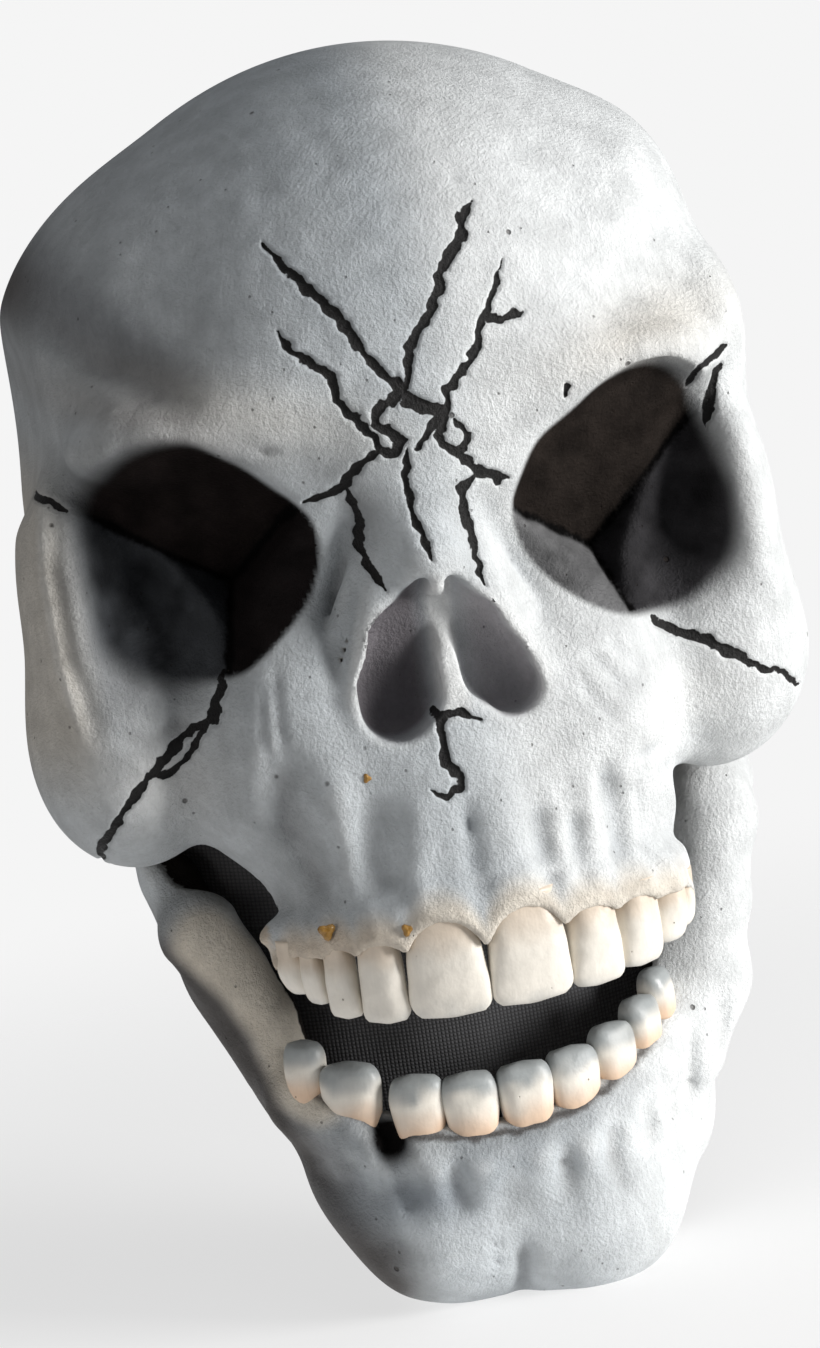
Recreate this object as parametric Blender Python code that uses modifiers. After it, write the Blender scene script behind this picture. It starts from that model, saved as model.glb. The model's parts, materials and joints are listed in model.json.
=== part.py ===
"""Cracked skull mask: a latex face shell with a hinged jaw, separate teeth, pads and a head band.

Everything is laid out in face coordinates, in millimetres: x to the right of someone looking at the
face, depth back from the nose opening, height above the top of the nose opening. place() turns
them into world metres, with the origin at the bottom centre of the whole object's box.
"""

import math

import bmesh
import bpy
from mathutils import Matrix, Vector

MM = 0.001

# Overall layout
CHIN_DROP = 210.1  # the nose opening's top above the chin
MID_DEPTH = 114.3  # half way from the front teeth to the band's back
RIM_DEPTH = 150.0  # the flat rear rim
WALL = 4.0  # latex thickness
PAD_CLEARANCE = 0.5
GAP = 0.35  # glue line or running gap between neighbours
VOXEL = 5.0

# Skull shell
DOME_CENTRE = (0.0, 110.0, 50.0)
DOME_RADII = (100.0, 107.0, 90.0)
SIDE_CENTRE = (0.0, 112.0, -30.0)
SIDE_RADII = (107.0, 88.0, 160.0)
SOCKET_CENTRE = (60.0, 24.0, 10.0)
SOCKET_RADII = (34.0, 44.0, 33.5)
GUM_HEIGHT = -97.0
CHEEK_INNER_X = 58.0  # where the cheek arch leaves the upper gum
THROAT_TOP = -46.0
THROAT_DEPTH = 112.0
THROAT_RADII = (97.0, 82.0)
ENDS_ROOM_X = 93.0
ENDS_ROOM_FRONT = 58.0
FAR_BELOW = -230.0

# Jaw
HINGE_DEPTH = 100.0
HINGE_HEIGHT = -50.0
JAW_BOSS_OUTER = 91.5
JAW_BOSS_INNER = 85.0
SKULL_BOSS_OUTER = 106.0
SKULL_BOSS_INNER = 97.0
BOSS_RADIUS = 11.0
RIVET_RADIUS = 2.6
RIVET_HOLE_RADIUS = 3.0
RIVET_SEAT_RADIUS = 12.0
JAW_BOSS_RADIUS = 10.0
SPACER_RADIUS = 8.0
BOSS_ROOM = 4.0  # room round the jaw's boss inside the skull
BOSS_SWEEP_RADIUS = 22.0  # the jaw's ends are trimmed flat this far round the hinge

# Teeth: (name, centre x, crown width, height of the biting edge)
UPPER_TEETH = [
    ("central", 11.2, 21.6, -121.0),
    ("lateral", 28.8, 14.6, -121.0),
    ("canine", 41.3, 12.6, -120.0),
    ("premolar", 50.4, 12.0, -116.5),
    ("molar", 55.8, 11.0, -114.5),
]
LOWER_TEETH = [
    ("central", 7.3, 14.0, -143.0),
    ("lateral", 21.2, 14.0, -142.0),
    ("canine", 34.0, 13.0, -137.0),
    ("premolar", 44.2, 12.0, -131.5),
    ("molar", 51.8, 11.6, -127.0),
]
MISSING_TOOTH = ("canine", "left")
SPECIAL_TEETH = {  # the left lower premolar is large and leans into the missing one's place
    ("premolar", "left"): (39.5, 17.0, -134.0),
    ("molar", "left"): (49.5, 11.6, -128.0),
}
TOOTH_THICKNESS = 9.0
UPPER_ARCH = {"half_width": 60.0, "depth": 50.0, "front": 3.5}
LOWER_ARCH = {"half_width": 58.0, "depth": 44.0, "front": 24.5}

# Head band
BAND_PIVOT_DEPTH = 130.0
BAND_PIVOT_HEIGHT = 10.0
BAND_BACK = 226.0
BAND_HALF_HEIGHT = 12.5
BAND_THICKNESS = 1.6
BAND_END_X = 88.0
BAND_RIM_X = 81.0  # where the band passes the rear rim
BAND_SEAT_X = 98.6  # the band rivet's head sits in a round recess down to here
BAND_SEAT_RADIUS = 8.5
BAND_BOSS_INNER = 93.5
BAND_BOSS_RADIUS = 10.5

# Mouth screen
SCREEN_RADIUS = 88.0
SCREEN_CENTRE_DEPTH = 148.0
SCREEN_TOP, SCREEN_BOTTOM = -62.0, -168.0
SCREEN_TOP_ANGLE, SCREEN_BOTTOM_ANGLE = 62.0, 24.0
SCREEN_THICKNESS = 1.2

SIDES = (("left", -1.0), ("right", 1.0))

LATEX = ("latex", (0.78, 0.79, 0.80), 0.75, 0.0)
TOOTH = ("tooth", (0.82, 0.77, 0.67), 0.45, 0.0)
SCREEN = ("screen", (0.03, 0.03, 0.035), 0.9, 0.0)
FOAM = ("foam", (0.12, 0.12, 0.13), 0.95, 0.0)
ELASTIC = ("elastic", (0.02, 0.02, 0.02), 0.85, 0.0)
STEEL = ("steel", (0.55, 0.55, 0.56), 0.35, 1.0)
NYLON = ("nylon", (0.03, 0.03, 0.03), 0.5, 0.0)


def clear_scene():
    for obj in list(bpy.data.objects):
        bpy.data.objects.remove(obj, do_unlink=True)


def collection(name, hidden=False):
    group = bpy.data.collections.new(name)
    bpy.context.scene.collection.children.link(group)
    group.hide_render = hidden
    return group


def material(spec):
    name, colour, roughness, metallic = spec
    found = bpy.data.materials.get(name)
    if found:
        return found
    made = bpy.data.materials.new(name)
    made.use_nodes = True
    shader = made.node_tree.nodes["Principled BSDF"]
    shader.inputs["Base Color"].default_value = (*colour, 1.0)
    shader.inputs["Roughness"].default_value = roughness
    shader.inputs["Metallic"].default_value = metallic
    return made


def place(x, depth, height):
    """Face coordinates in millimetres to world metres."""
    return Vector((x, depth - MID_DEPTH, height + CHIN_DROP)) * MM


# Basic shapes, as bmesh in world metres ------------------------------------------------------


def add_ellipsoid(mesh, centre, radii, tilt=0.0, segments=28):
    """An ellipsoid; tilt turns it about its own front-to-back axis, in degrees."""
    scale = Matrix.Diagonal((*(r * MM for r in radii), 1.0))
    turn = Matrix.Rotation(math.radians(tilt), 4, "Y")
    matrix = Matrix.Translation(place(*centre)) @ turn @ scale
    bmesh.ops.create_uvsphere(
        mesh, u_segments=segments, v_segments=segments // 2, radius=1.0, matrix=matrix
    )


def add_box(mesh, low, high):
    a, b = place(*low), place(*high)
    size = b - a
    matrix = Matrix.Translation((a + b) / 2) @ Matrix.Diagonal((*size, 1.0))
    bmesh.ops.create_cube(mesh, size=1.0, matrix=matrix)


def add_pin(mesh, x_from, x_to, depth, height, radius, segments=20):
    """A cylinder along X."""
    a, b = place(x_from, depth, height), place(x_to, depth, height)
    turn = Matrix.Rotation(math.radians(90), 4, "Y")
    bmesh.ops.create_cone(
        mesh,
        cap_ends=True,
        segments=segments,
        radius1=radius * MM,
        radius2=radius * MM,
        depth=abs(b.x - a.x),
        matrix=Matrix.Translation((a + b) / 2) @ turn,
    )


def add_side_profile(mesh, outline, x_from, x_to):
    """A plate from x_from to x_to, cut to an outline of (depth, height) points."""
    face = mesh.faces.new([mesh.verts.new(place(x_from, d, h)) for d, h in outline])
    moved = bmesh.ops.extrude_face_region(mesh, geom=[face])
    verts = [v for v in moved["geom"] if isinstance(v, bmesh.types.BMVert)]
    bmesh.ops.translate(mesh, verts=verts, vec=((x_to - x_from) * MM, 0, 0))
    bmesh.ops.recalc_face_normals(mesh, faces=mesh.faces)


def make_object(name, mesh, group, spec=LATEX):
    data = bpy.data.meshes.new(name)
    mesh.to_mesh(data)
    mesh.free()
    data.materials.append(material(spec))
    obj = bpy.data.objects.new(name, data)
    group.objects.link(obj)
    if group == TOOLS:
        obj.hide_render = True
        obj.display_type = "WIRE"
    return obj


def shape(name, build, group, spec=LATEX):
    mesh = bmesh.new()
    build(mesh)
    return make_object(name, mesh, group, spec)


def boolean(obj, tool, operation="DIFFERENCE"):
    modifier = obj.modifiers.new(f"{operation.lower()}_{tool.name}"[:60], "BOOLEAN")
    modifier.operation = operation
    modifier.object = tool
    modifier.solver = "EXACT"


def apply_modifiers(obj):
    """Replaces the object's mesh with its evaluated one, so that later steps can build on it."""
    evaluated = obj.evaluated_get(bpy.context.evaluated_depsgraph_get())
    data = bpy.data.meshes.new_from_object(evaluated)
    obj.modifiers.clear()
    obj.data = data


def soften(obj, voxel, smoothing, keep):
    """Fuses a rough form into one even skin, rounds it and thins the mesh where it is smooth."""
    remesh = obj.modifiers.new("fuse", "REMESH")
    remesh.mode = "VOXEL"
    remesh.voxel_size = voxel * MM
    smooth = obj.modifiers.new("round", "SMOOTH")
    smooth.iterations = smoothing
    smooth.factor = 0.5
    if keep < 1.0:
        thin = obj.modifiers.new("thin", "DECIMATE")
        thin.ratio = keep
    apply_modifiers(obj)


# Skull form ----------------------------------------------------------------------------------


def skull_bulk(mesh, inset):
    """The bony masses of the skull; inset shrinks each of them."""

    def mass(centre, radii, tilt=0.0):
        add_ellipsoid(mesh, centre, [r - inset for r in radii], tilt)

    mass(DOME_CENTRE, DOME_RADII)
    mass(SIDE_CENTRE, SIDE_RADII)
    mass((0.0, 60.0, -62.0), (57.0, 58.0, 62.0))
    mass((0.0, 41.0, -93.0), (56.0, 40.0, 26.0))
    mass((0.0, 30.0, 12.0), (22.0, 26.0, 36.0))
    for _, side in SIDES:
        mass((side * 74.0, 80.0, 79.0), (24.0, 48.0, 24.0))
        mass((side * 46.0, 34.0, 46.0), (44.0, 26.0, 16.0), side * 8.0)
        mass((side * 80.0, 66.0, -42.0), (30.0, 36.0, 37.0))
        mass((side * 94.0, 66.0, 6.0), (14.0, 34.0, 50.0))
        mass((side * 36.0, 44.0, -48.0), (34.0, 36.0, 46.0))


def skull_hollows(mesh, grow):
    """The two eye cups, the nose opening and the temple dents; grow widens each of them."""
    for _, side in SIDES:
        x, depth, height = SOCKET_CENTRE
        radii = [r + grow for r in SOCKET_RADII]
        add_ellipsoid(mesh, (side * x, depth, height), radii, side * -6.0)
        add_ellipsoid(mesh, (side * 11.0, 8.0, -28.0), (12.0 + grow, 26.0 + grow, 16.0 + grow))
        add_ellipsoid(mesh, (side * 112.0, 78.0, 46.0), (13.0 + grow, 26.0 + grow, 30.0 + grow))
    add_ellipsoid(mesh, (0.0, 6.0, -14.0), (9.0 + grow, 22.0 + grow, 14.0 + grow))


def skull_form(name, inset, keep):
    """The skull as one closed solid, shrunk by inset all over."""
    form = shape(name, lambda mesh: skull_bulk(mesh, inset), TOOLS)
    soften(form, VOXEL, 4, 1.0)
    hollows = shape(f"{name}_hollows", lambda mesh: skull_hollows(mesh, inset), TOOLS)
    soften(hollows, VOXEL, 1, 0.5)
    boolean(form, hollows)
    apply_modifiers(form)
    soften(form, VOXEL, 3, keep)
    return form


def throat(mesh):
    """The room for the jaw's upper ends and the wearer's neck, under the skull's inside."""
    height = THROAT_TOP - FAR_BELOW
    size = (*(radius * MM for radius in THROAT_RADII), height * MM, 1.0)
    middle = place(0.0, THROAT_DEPTH, THROAT_TOP - height / 2)
    bmesh.ops.create_cone(
        mesh,
        cap_ends=True,
        segments=48,
        radius1=1.0,
        radius2=1.0,
        depth=1.0,
        matrix=Matrix.Translation(middle) @ Matrix.Diagonal(size),
    )


def jaw_ends_room(mesh):
    """Room in front of the throat in which the jaw's two upper ends swing."""
    low = (-ENDS_ROOM_X, ENDS_ROOM_FRONT, FAR_BELOW)
    add_box(mesh, low, (ENDS_ROOM_X, THROAT_DEPTH, THROAT_TOP))


# The cheek arch's lower edge, seen from the side, closed far below the skull
UNDER_CHEEK_OUTLINE = [
    (-30.0, -80.0),
    (50.0, -78.0),
    (78.0, -69.0),
    (100.0, -64.0),
    (200.0, -50.0),
    (200.0, FAR_BELOW),
    (-30.0, FAR_BELOW),
]


def pin_tool(name, side, x_from, x_to, depth, height, radius, segments=20):
    """A cylinder along X on one side, for uniting with or cutting from a shell."""
    return shape(
        name,
        lambda mesh: add_pin(mesh, side * x_from, side * x_to, depth, height, radius, segments),
        TOOLS,
    )


def box_tool(name, low, high):
    return shape(name, lambda mesh: add_box(mesh, low, high), TOOLS)


def shown(form, group):
    """Moves a form from the cutters to the parts."""
    TOOLS.objects.unlink(form)
    group.objects.link(form)
    form.hide_render = False
    form.display_type = "TEXTURED"
    return form


def make_skull(group):
    skull = shown(skull_form("skull_skin", 0.0, 0.16), group)
    inner = skull_form("skull_inside", WALL, 0.11)
    hinge = (HINGE_DEPTH, HINGE_HEIGHT)
    pivot = (BAND_PIVOT_DEPTH, BAND_PIVOT_HEIGHT)
    for name, side in SIDES:
        boss = pin_tool(f"hinge_boss_{name}", side, 88.0, SKULL_BOSS_OUTER, *hinge, BOSS_RADIUS)
        boolean(skull, boss, "UNION")
    boolean(skull, inner)
    for name, side in SIDES:
        boss = pin_tool(
            f"band_boss_{name}", side, BAND_BOSS_INNER, BAND_SEAT_X + 1.0, *pivot, BAND_BOSS_RADIUS
        )
        boolean(skull, boss, "UNION")
    boolean(skull, shape("throat", throat, TOOLS))
    boolean(skull, shape("jaw_ends_room", jaw_ends_room, TOOLS))
    for name, side in SIDES:
        below = shape(
            f"under_cheek_{name}",
            lambda mesh, s=side: add_side_profile(
                mesh, UNDER_CHEEK_OUTLINE, s * CHEEK_INNER_X, s * 140.0
            ),
            TOOLS,
        )
        boolean(skull, below)
    boolean(skull, box_tool("behind_rim", (-150.0, RIM_DEPTH, FAR_BELOW), (150.0, 260.0, 200.0)))
    boolean(skull, box_tool("below_gum", (-150.0, -40.0, FAR_BELOW), (150.0, 200.0, GUM_HEIGHT)))
    for name, side in SIDES:
        cuts = [
            ("jaw_room", 60.0, SKULL_BOSS_INNER, hinge, BOSS_RADIUS + BOSS_ROOM),
            ("hinge_hole", 70.0, 120.0, hinge, RIVET_HOLE_RADIUS),
            ("band_hole", 80.0, 120.0, pivot, RIVET_HOLE_RADIUS),
            ("band_seat", BAND_SEAT_X, 120.0, pivot, BAND_SEAT_RADIUS),
        ]
        for cut, x_from, x_to, spot, radius in cuts:
            boolean(skull, pin_tool(f"{cut}_{name}", side, x_from, x_to, *spot, radius))
    apply_modifiers(skull)
    return skull


# Jaw -----------------------------------------------------------------------------------------

JAW_OUTLINE = [
    (8.0, -164.0),
    (31.0, -164.0),
    (49.0, -142.0),
    (57.0, -120.0),
    (60.0, -96.0),
    (67.0, -81.0),
    (78.0, -80.0),
    (88.0, -64.0),
    (92.0, -42.0),
    (108.0, -42.0),
    (116.0, -60.0),
    (114.0, -112.0),
    (102.0, -142.0),
    (70.0, -188.0),
    (50.0, FAR_BELOW),
    (8.0, FAR_BELOW),
]


def jaw_bulk(mesh, inset):
    def mass(centre, radii):
        add_ellipsoid(mesh, centre, [r - inset for r in radii])

    mass((0.0, 108.0, -72.0), (93.0, 78.0, 139.0))
    mass((0.0, 54.0, -178.0), (56.0, 36.0, 32.0))
    mass((0.0, 66.0, -150.0), (60.0, 48.0, 32.0))
    for _, side in SIDES:
        mass((side * 18.0, 42.0, -191.0), (24.0, 23.0, 20.0))
        mass((side * 55.0, 80.0, -132.0), (21.0, 38.0, 34.0))


def make_jaw(group):
    jaw = shape("jaw_skin", lambda mesh: jaw_bulk(mesh, 0.0), TOOLS)
    soften(jaw, VOXEL, 4, 0.14)
    shown(jaw, group)
    inner = shape("jaw_inside", lambda mesh: jaw_bulk(mesh, WALL), TOOLS)
    soften(inner, VOXEL, 4, 0.12)
    boolean(jaw, inner)
    hinge = (HINGE_DEPTH, HINGE_HEIGHT)
    for name, side in SIDES:
        boss = pin_tool(
            f"jaw_boss_{name}", side, JAW_BOSS_INNER - 1.0, JAW_BOSS_OUTER + 1.0, *hinge, JAW_BOSS_RADIUS
        )
        boolean(jaw, boss, "UNION")
    outline = shape("jaw_outline", lambda mesh: add_side_profile(mesh, JAW_OUTLINE, -130.0, 130.0), TOOLS)
    boolean(jaw, outline, "INTERSECT")
    for name, side in SIDES:
        cuts = [
            ("beside_boss", JAW_BOSS_OUTER, 120.0, BOSS_SWEEP_RADIUS, 32),
            ("behind_boss", 60.0, JAW_BOSS_INNER, RIVET_SEAT_RADIUS, 20),
            ("jaw_hole", 70.0, 120.0, RIVET_HOLE_RADIUS, 20),
        ]
        for cut, x_from, x_to, radius, segments in cuts:
            boolean(jaw, pin_tool(f"{cut}_{name}", side, x_from, x_to, *hinge, radius, segments))
    apply_modifiers(jaw)
    return jaw


# Teeth ---------------------------------------------------------------------------------------


def arch_place(arch, x):
    """Depth of the tooth row at x, and the angle by which a tooth there turns outwards."""
    part = x / arch["half_width"]
    root = math.sqrt(1 - part * part)
    depth = arch["front"] + arch["depth"] * (1 - root)
    turn = math.atan(arch["depth"] * part / (arch["half_width"] * root))
    return depth, turn


def make_tooth(name, x, width, edge, arch, neck, group, gum):
    """One crown: a cage wider at the biting edge than at the neck, rounded by subdivision."""
    depth, turn = arch_place(arch, x)
    bottom, top = sorted((neck, edge))
    lower_is_edge = edge < neck
    rows = []
    for part in (0.0, 0.35, 0.8, 1.0):
        from_edge = part if lower_is_edge else 1.0 - part
        spread = 1.0 - 0.24 * from_edge
        thick = 0.62 + 0.38 * min(1.0, from_edge * 2.0)
        rows.append((bottom + (top - bottom) * part, spread, thick))
    mesh = bmesh.new()
    rings = []
    for height, spread, thick in rows:
        half_w = width / 2 * 1.04 * spread
        half_t = TOOTH_THICKNESS / 2 * thick
        corners = [(-half_w, -half_t), (half_w, -half_t), (half_w, half_t), (-half_w, half_t)]
        ring = []
        for u, v in corners:
            px = x + u * math.cos(turn) - v * math.sin(turn)
            pd = depth + u * math.sin(turn) + v * math.cos(turn)
            ring.append(mesh.verts.new(place(px, pd, height)))
        rings.append(ring)
    for below, above in zip(rings, rings[1:]):
        for i in range(4):
            j = (i + 1) % 4
            mesh.faces.new((below[i], below[j], above[j], above[i]))
    mesh.faces.new(rings[0][::-1])
    mesh.faces.new(rings[-1])
    bmesh.ops.recalc_face_normals(mesh, faces=mesh.faces)
    tooth = make_object(name, mesh, group, TOOTH)
    rounded = tooth.modifiers.new("round", "SUBSURF")
    rounded.levels = 1
    rounded.render_levels = 1
    boolean(tooth, gum)
    return tooth


def make_teeth(group):
    gum_line = [(d, h + GAP) for d, h in JAW_OUTLINE[1:4]]
    gum_outline = [(-20.0, gum_line[0][1]), *gum_line, (57.0, -200.0), (-20.0, -200.0)]
    lower_gum = shape(
        "lower_gum_line", lambda mesh: add_side_profile(mesh, gum_outline, -100.0, 100.0), TOOLS
    )
    upper_gum = shape(
        "upper_gum_line",
        lambda mesh: add_box(mesh, (-90.0, -40.0, GUM_HEIGHT - GAP), (90.0, 120.0, -60.0)),
        TOOLS,
    )
    for side_name, side in SIDES:
        for tooth, x, width, edge in UPPER_TEETH:
            name = f"upper_{tooth}_{side_name}"
            make_tooth(name, side * x, width, edge, UPPER_ARCH, GUM_HEIGHT + 8.0, group, upper_gum)
        for tooth, x, width, edge in LOWER_TEETH:
            if (tooth, side_name) == MISSING_TOOTH:
                continue
            x, width, edge = SPECIAL_TEETH.get((tooth, side_name), (x, width, edge))
            name = f"lower_{tooth}_{side_name}"
            make_tooth(name, side * x, width, edge, LOWER_ARCH, edge - 30.0, group, lower_gum)


# Screen and pads -----------------------------------------------------------------------------


def make_screen(group):
    """A curved sheet behind the teeth, hung from the upper gum and narrower at its lower edge."""
    columns, rows = 12, 6
    mesh = bmesh.new()
    grid = []
    for row in range(rows + 1):
        share = row / rows
        height = SCREEN_TOP + (SCREEN_BOTTOM - SCREEN_TOP) * share
        half_angle = SCREEN_TOP_ANGLE + (SCREEN_BOTTOM_ANGLE - SCREEN_TOP_ANGLE) * share**2
        line = []
        for column in range(columns + 1):
            angle = math.radians(half_angle * (2 * column / columns - 1))
            x = SCREEN_RADIUS * math.sin(angle)
            depth = SCREEN_CENTRE_DEPTH - SCREEN_RADIUS * math.cos(angle)
            line.append(mesh.verts.new(place(x, depth, height)))
        grid.append(line)
    for upper, lower in zip(grid, grid[1:]):
        for column in range(columns):
            mesh.faces.new((lower[column], lower[column + 1], upper[column + 1], upper[column]))
    screen = make_object("mouth_screen", mesh, group, SCREEN)
    thick = screen.modifiers.new("thickness", "SOLIDIFY")
    thick.thickness = SCREEN_THICKNESS * MM
    thick.offset = 0.0
    return screen


def make_pads(group):
    """Foam blocks fitted against the inside of the shells."""
    lining = skull_form("lining", WALL + PAD_CLEARANCE + 1.0, 0.2)
    blocks = {
        "brow_pad": ((-34.0, -10.0, 56.0), (34.0, 26.0, 88.0)),
        "crown_pad": ((-38.0, 84.0, 116.0), (38.0, 140.0, 150.0)),
        "temple_pad_left": ((-130.0, 90.0, 28.0), (-82.0, 122.0, 78.0)),
        "temple_pad_right": ((82.0, 90.0, 28.0), (130.0, 122.0, 78.0)),
    }
    for name, (low, high) in blocks.items():
        pad = shape(name, lambda mesh, a=low, b=high: add_box(mesh, a, b), group, FOAM)
        boolean(pad, lining, "INTERSECT")
    jaw_lining = shape(
        "jaw_lining", lambda mesh: jaw_bulk(mesh, WALL + PAD_CLEARANCE + 1.0), TOOLS
    )
    soften(jaw_lining, VOXEL, 4, 0.2)
    pad = shape(
        "chin_pad",
        lambda mesh: add_box(mesh, (-28.0, 0.0, -200.0), (28.0, 50.0, -172.0)),
        group,
        FOAM,
    )
    boolean(pad, jaw_lining, "INTERSECT")


# Rivets and spacers --------------------------------------------------------------------------


def turned_rivet(name, side, depth, height, head_x, tail_x, group):
    """A rivet along X, drawn as a half profile from head to tail and turned by a Screw modifier."""
    head_r, tail_r, head_h, tail_h = 7.0, 5.4, 2.6, 1.4
    length = head_x - tail_x
    profile = [
        (0.0, head_h),
        (head_r * 0.55, head_h * 0.8),
        (head_r * 0.9, head_h * 0.35),
        (head_r, 0.0),
        (RIVET_RADIUS, 0.0),
        (RIVET_RADIUS, -length),
        (tail_r, -length),
        (tail_r * 0.8, -length - tail_h),
        (0.0, -length - tail_h),
    ]
    mesh = bmesh.new()
    verts = [mesh.verts.new(Vector((r * MM, 0.0, h * MM))) for r, h in profile]
    for a, b in zip(verts, verts[1:]):
        mesh.edges.new((a, b))
    rivet = make_object(name, mesh, group, STEEL)
    screw = rivet.modifiers.new("turn", "SCREW")
    screw.steps = 18
    screw.render_steps = 18
    screw.use_merge_vertices = True
    screw.merge_threshold = 0.00001
    rivet.location = place(side * head_x, depth, height)
    rivet.rotation_euler = (0.0, math.radians(90.0 * side), 0.0)
    return rivet


def make_ring(name, side, x_in, x_out, depth, height, outer, inner, group, spec):
    ring = shape(
        name,
        lambda mesh: add_pin(mesh, side * x_in, side * x_out, depth, height, outer),
        group,
        spec,
    )
    hole = shape(
        f"{name}_hole",
        lambda mesh: add_pin(mesh, side * (x_in - 5), side * (x_out + 5), depth, height, inner),
        TOOLS,
    )
    boolean(ring, hole)
    return ring


def make_hardware(group):
    for name, side in SIDES:
        turned_rivet(
            f"jaw_rivet_{name}",
            side,
            HINGE_DEPTH,
            HINGE_HEIGHT,
            SKULL_BOSS_OUTER + GAP,
            JAW_BOSS_INNER - GAP,
            group,
        )
        make_ring(
            f"jaw_spacer_{name}",
            side,
            JAW_BOSS_OUTER + GAP,
            SKULL_BOSS_INNER - GAP,
            HINGE_DEPTH,
            HINGE_HEIGHT,
            SPACER_RADIUS,
            RIVET_HOLE_RADIUS,
            group,
            NYLON,
        )
        turned_rivet(
            f"band_rivet_{name}",
            side,
            BAND_PIVOT_DEPTH,
            BAND_PIVOT_HEIGHT,
            BAND_SEAT_X + GAP,
            BAND_END_X - BAND_THICKNESS / 2 - 2.2,
            group,
        )
        make_ring(
            f"band_washer_{name}",
            side,
            BAND_END_X - BAND_THICKNESS / 2 - 1.8,
            BAND_END_X - BAND_THICKNESS / 2 - GAP,
            BAND_PIVOT_DEPTH,
            BAND_PIVOT_HEIGHT,
            7.0,
            RIVET_HOLE_RADIUS,
            group,
            STEEL,
        )


# Band ----------------------------------------------------------------------------------------


def band_path():
    """(x, depth) points from the right pivot round the back of the head to the left one."""
    straight = 34.0
    start = 156.0
    right = [
        (BAND_END_X, BAND_PIVOT_DEPTH - 10.0),
        (BAND_END_X, BAND_PIVOT_DEPTH + 7.0),
        (BAND_RIM_X + 0.4, RIM_DEPTH - 2.0),
    ]
    for i in range(10):
        angle = math.radians(90.0 * i / 9)
        x = straight + (BAND_RIM_X - straight) * math.cos(angle)
        depth = start + (BAND_BACK - start) * math.sin(angle)
        right.append((x, depth))
    return right + [(-x, depth) for x, depth in reversed(right)]


def make_band(group):
    mesh = bmesh.new()
    low = BAND_PIVOT_HEIGHT - BAND_HALF_HEIGHT
    high = BAND_PIVOT_HEIGHT + BAND_HALF_HEIGHT
    columns = [[mesh.verts.new(place(x, d, h)) for h in (low, high)] for x, d in band_path()]
    for a, b in zip(columns, columns[1:]):
        mesh.faces.new((a[0], b[0], b[1], a[1]))
    band = make_object("head_band", mesh, group, ELASTIC)
    thick = band.modifiers.new("thickness", "SOLIDIFY")
    thick.thickness = BAND_THICKNESS * MM
    thick.offset = 0.0
    thick.use_even_offset = True
    for name, side in SIDES:
        hole = shape(
            f"band_eyelet_{name}",
            lambda mesh, s=side: add_pin(
                mesh, s * 80.0, s * 110.0, BAND_PIVOT_DEPTH, BAND_PIVOT_HEIGHT, RIVET_HOLE_RADIUS
            ),
            TOOLS,
        )
        boolean(band, hole)
    return band


def make_slider(group):
    """The adjuster: a flat frame round the band with a middle bar in front of it."""
    half_w, half_h, rail = 11.0, BAND_HALF_HEIGHT + 4.0, 3.0
    back, front = BAND_BACK + 1.2, BAND_BACK - 1.2
    height = BAND_PIVOT_HEIGHT

    def frame(mesh):
        add_box(mesh, (-half_w, front - 1.6, height - half_h), (half_w, back + 1.0, height + half_h))

    slider = shape("band_slider", frame, group, NYLON)
    channel = shape(
        "slider_channel",
        lambda mesh: add_box(
            mesh,
            (-half_w - 5, front, height - half_h + rail),
            (half_w + 5, back, height + half_h - rail),
        ),
        TOOLS,
    )
    boolean(slider, channel)
    window = shape(
        "slider_window",
        lambda mesh: add_box(
            mesh,
            (-half_w + rail, back - 1.0, height - half_h + rail),
            (half_w - rail, back + 5.0, height + half_h - rail),
        ),
        TOOLS,
    )
    boolean(slider, window)
    return slider


clear_scene()
MASK = collection("skull_mask")
TOOLS = collection("cutters", hidden=True)
make_skull(MASK)
make_jaw(MASK)
make_teeth(MASK)
make_screen(MASK)
make_pads(MASK)
make_hardware(MASK)
make_band(MASK)
make_slider(MASK)
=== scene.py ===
"""Looks of the cracked skull mask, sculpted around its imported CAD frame.

The skull and the jaw are modelled as blocks of signed distance ("clay"): masses are added, hollows are
cut and strokes are pressed in from the front, and the zero surface becomes the mesh. Teeth, pads, band and
screen are meshes of their own. Sizes are in millimetres in the mask's own coordinates: x to the right,
depth backwards and height upwards from the nose opening's top. place() turns them into the frame's metres.
"""
import json
import math

import bmesh
import bpy
import numpy as np
from mathutils import Matrix, Vector


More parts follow.
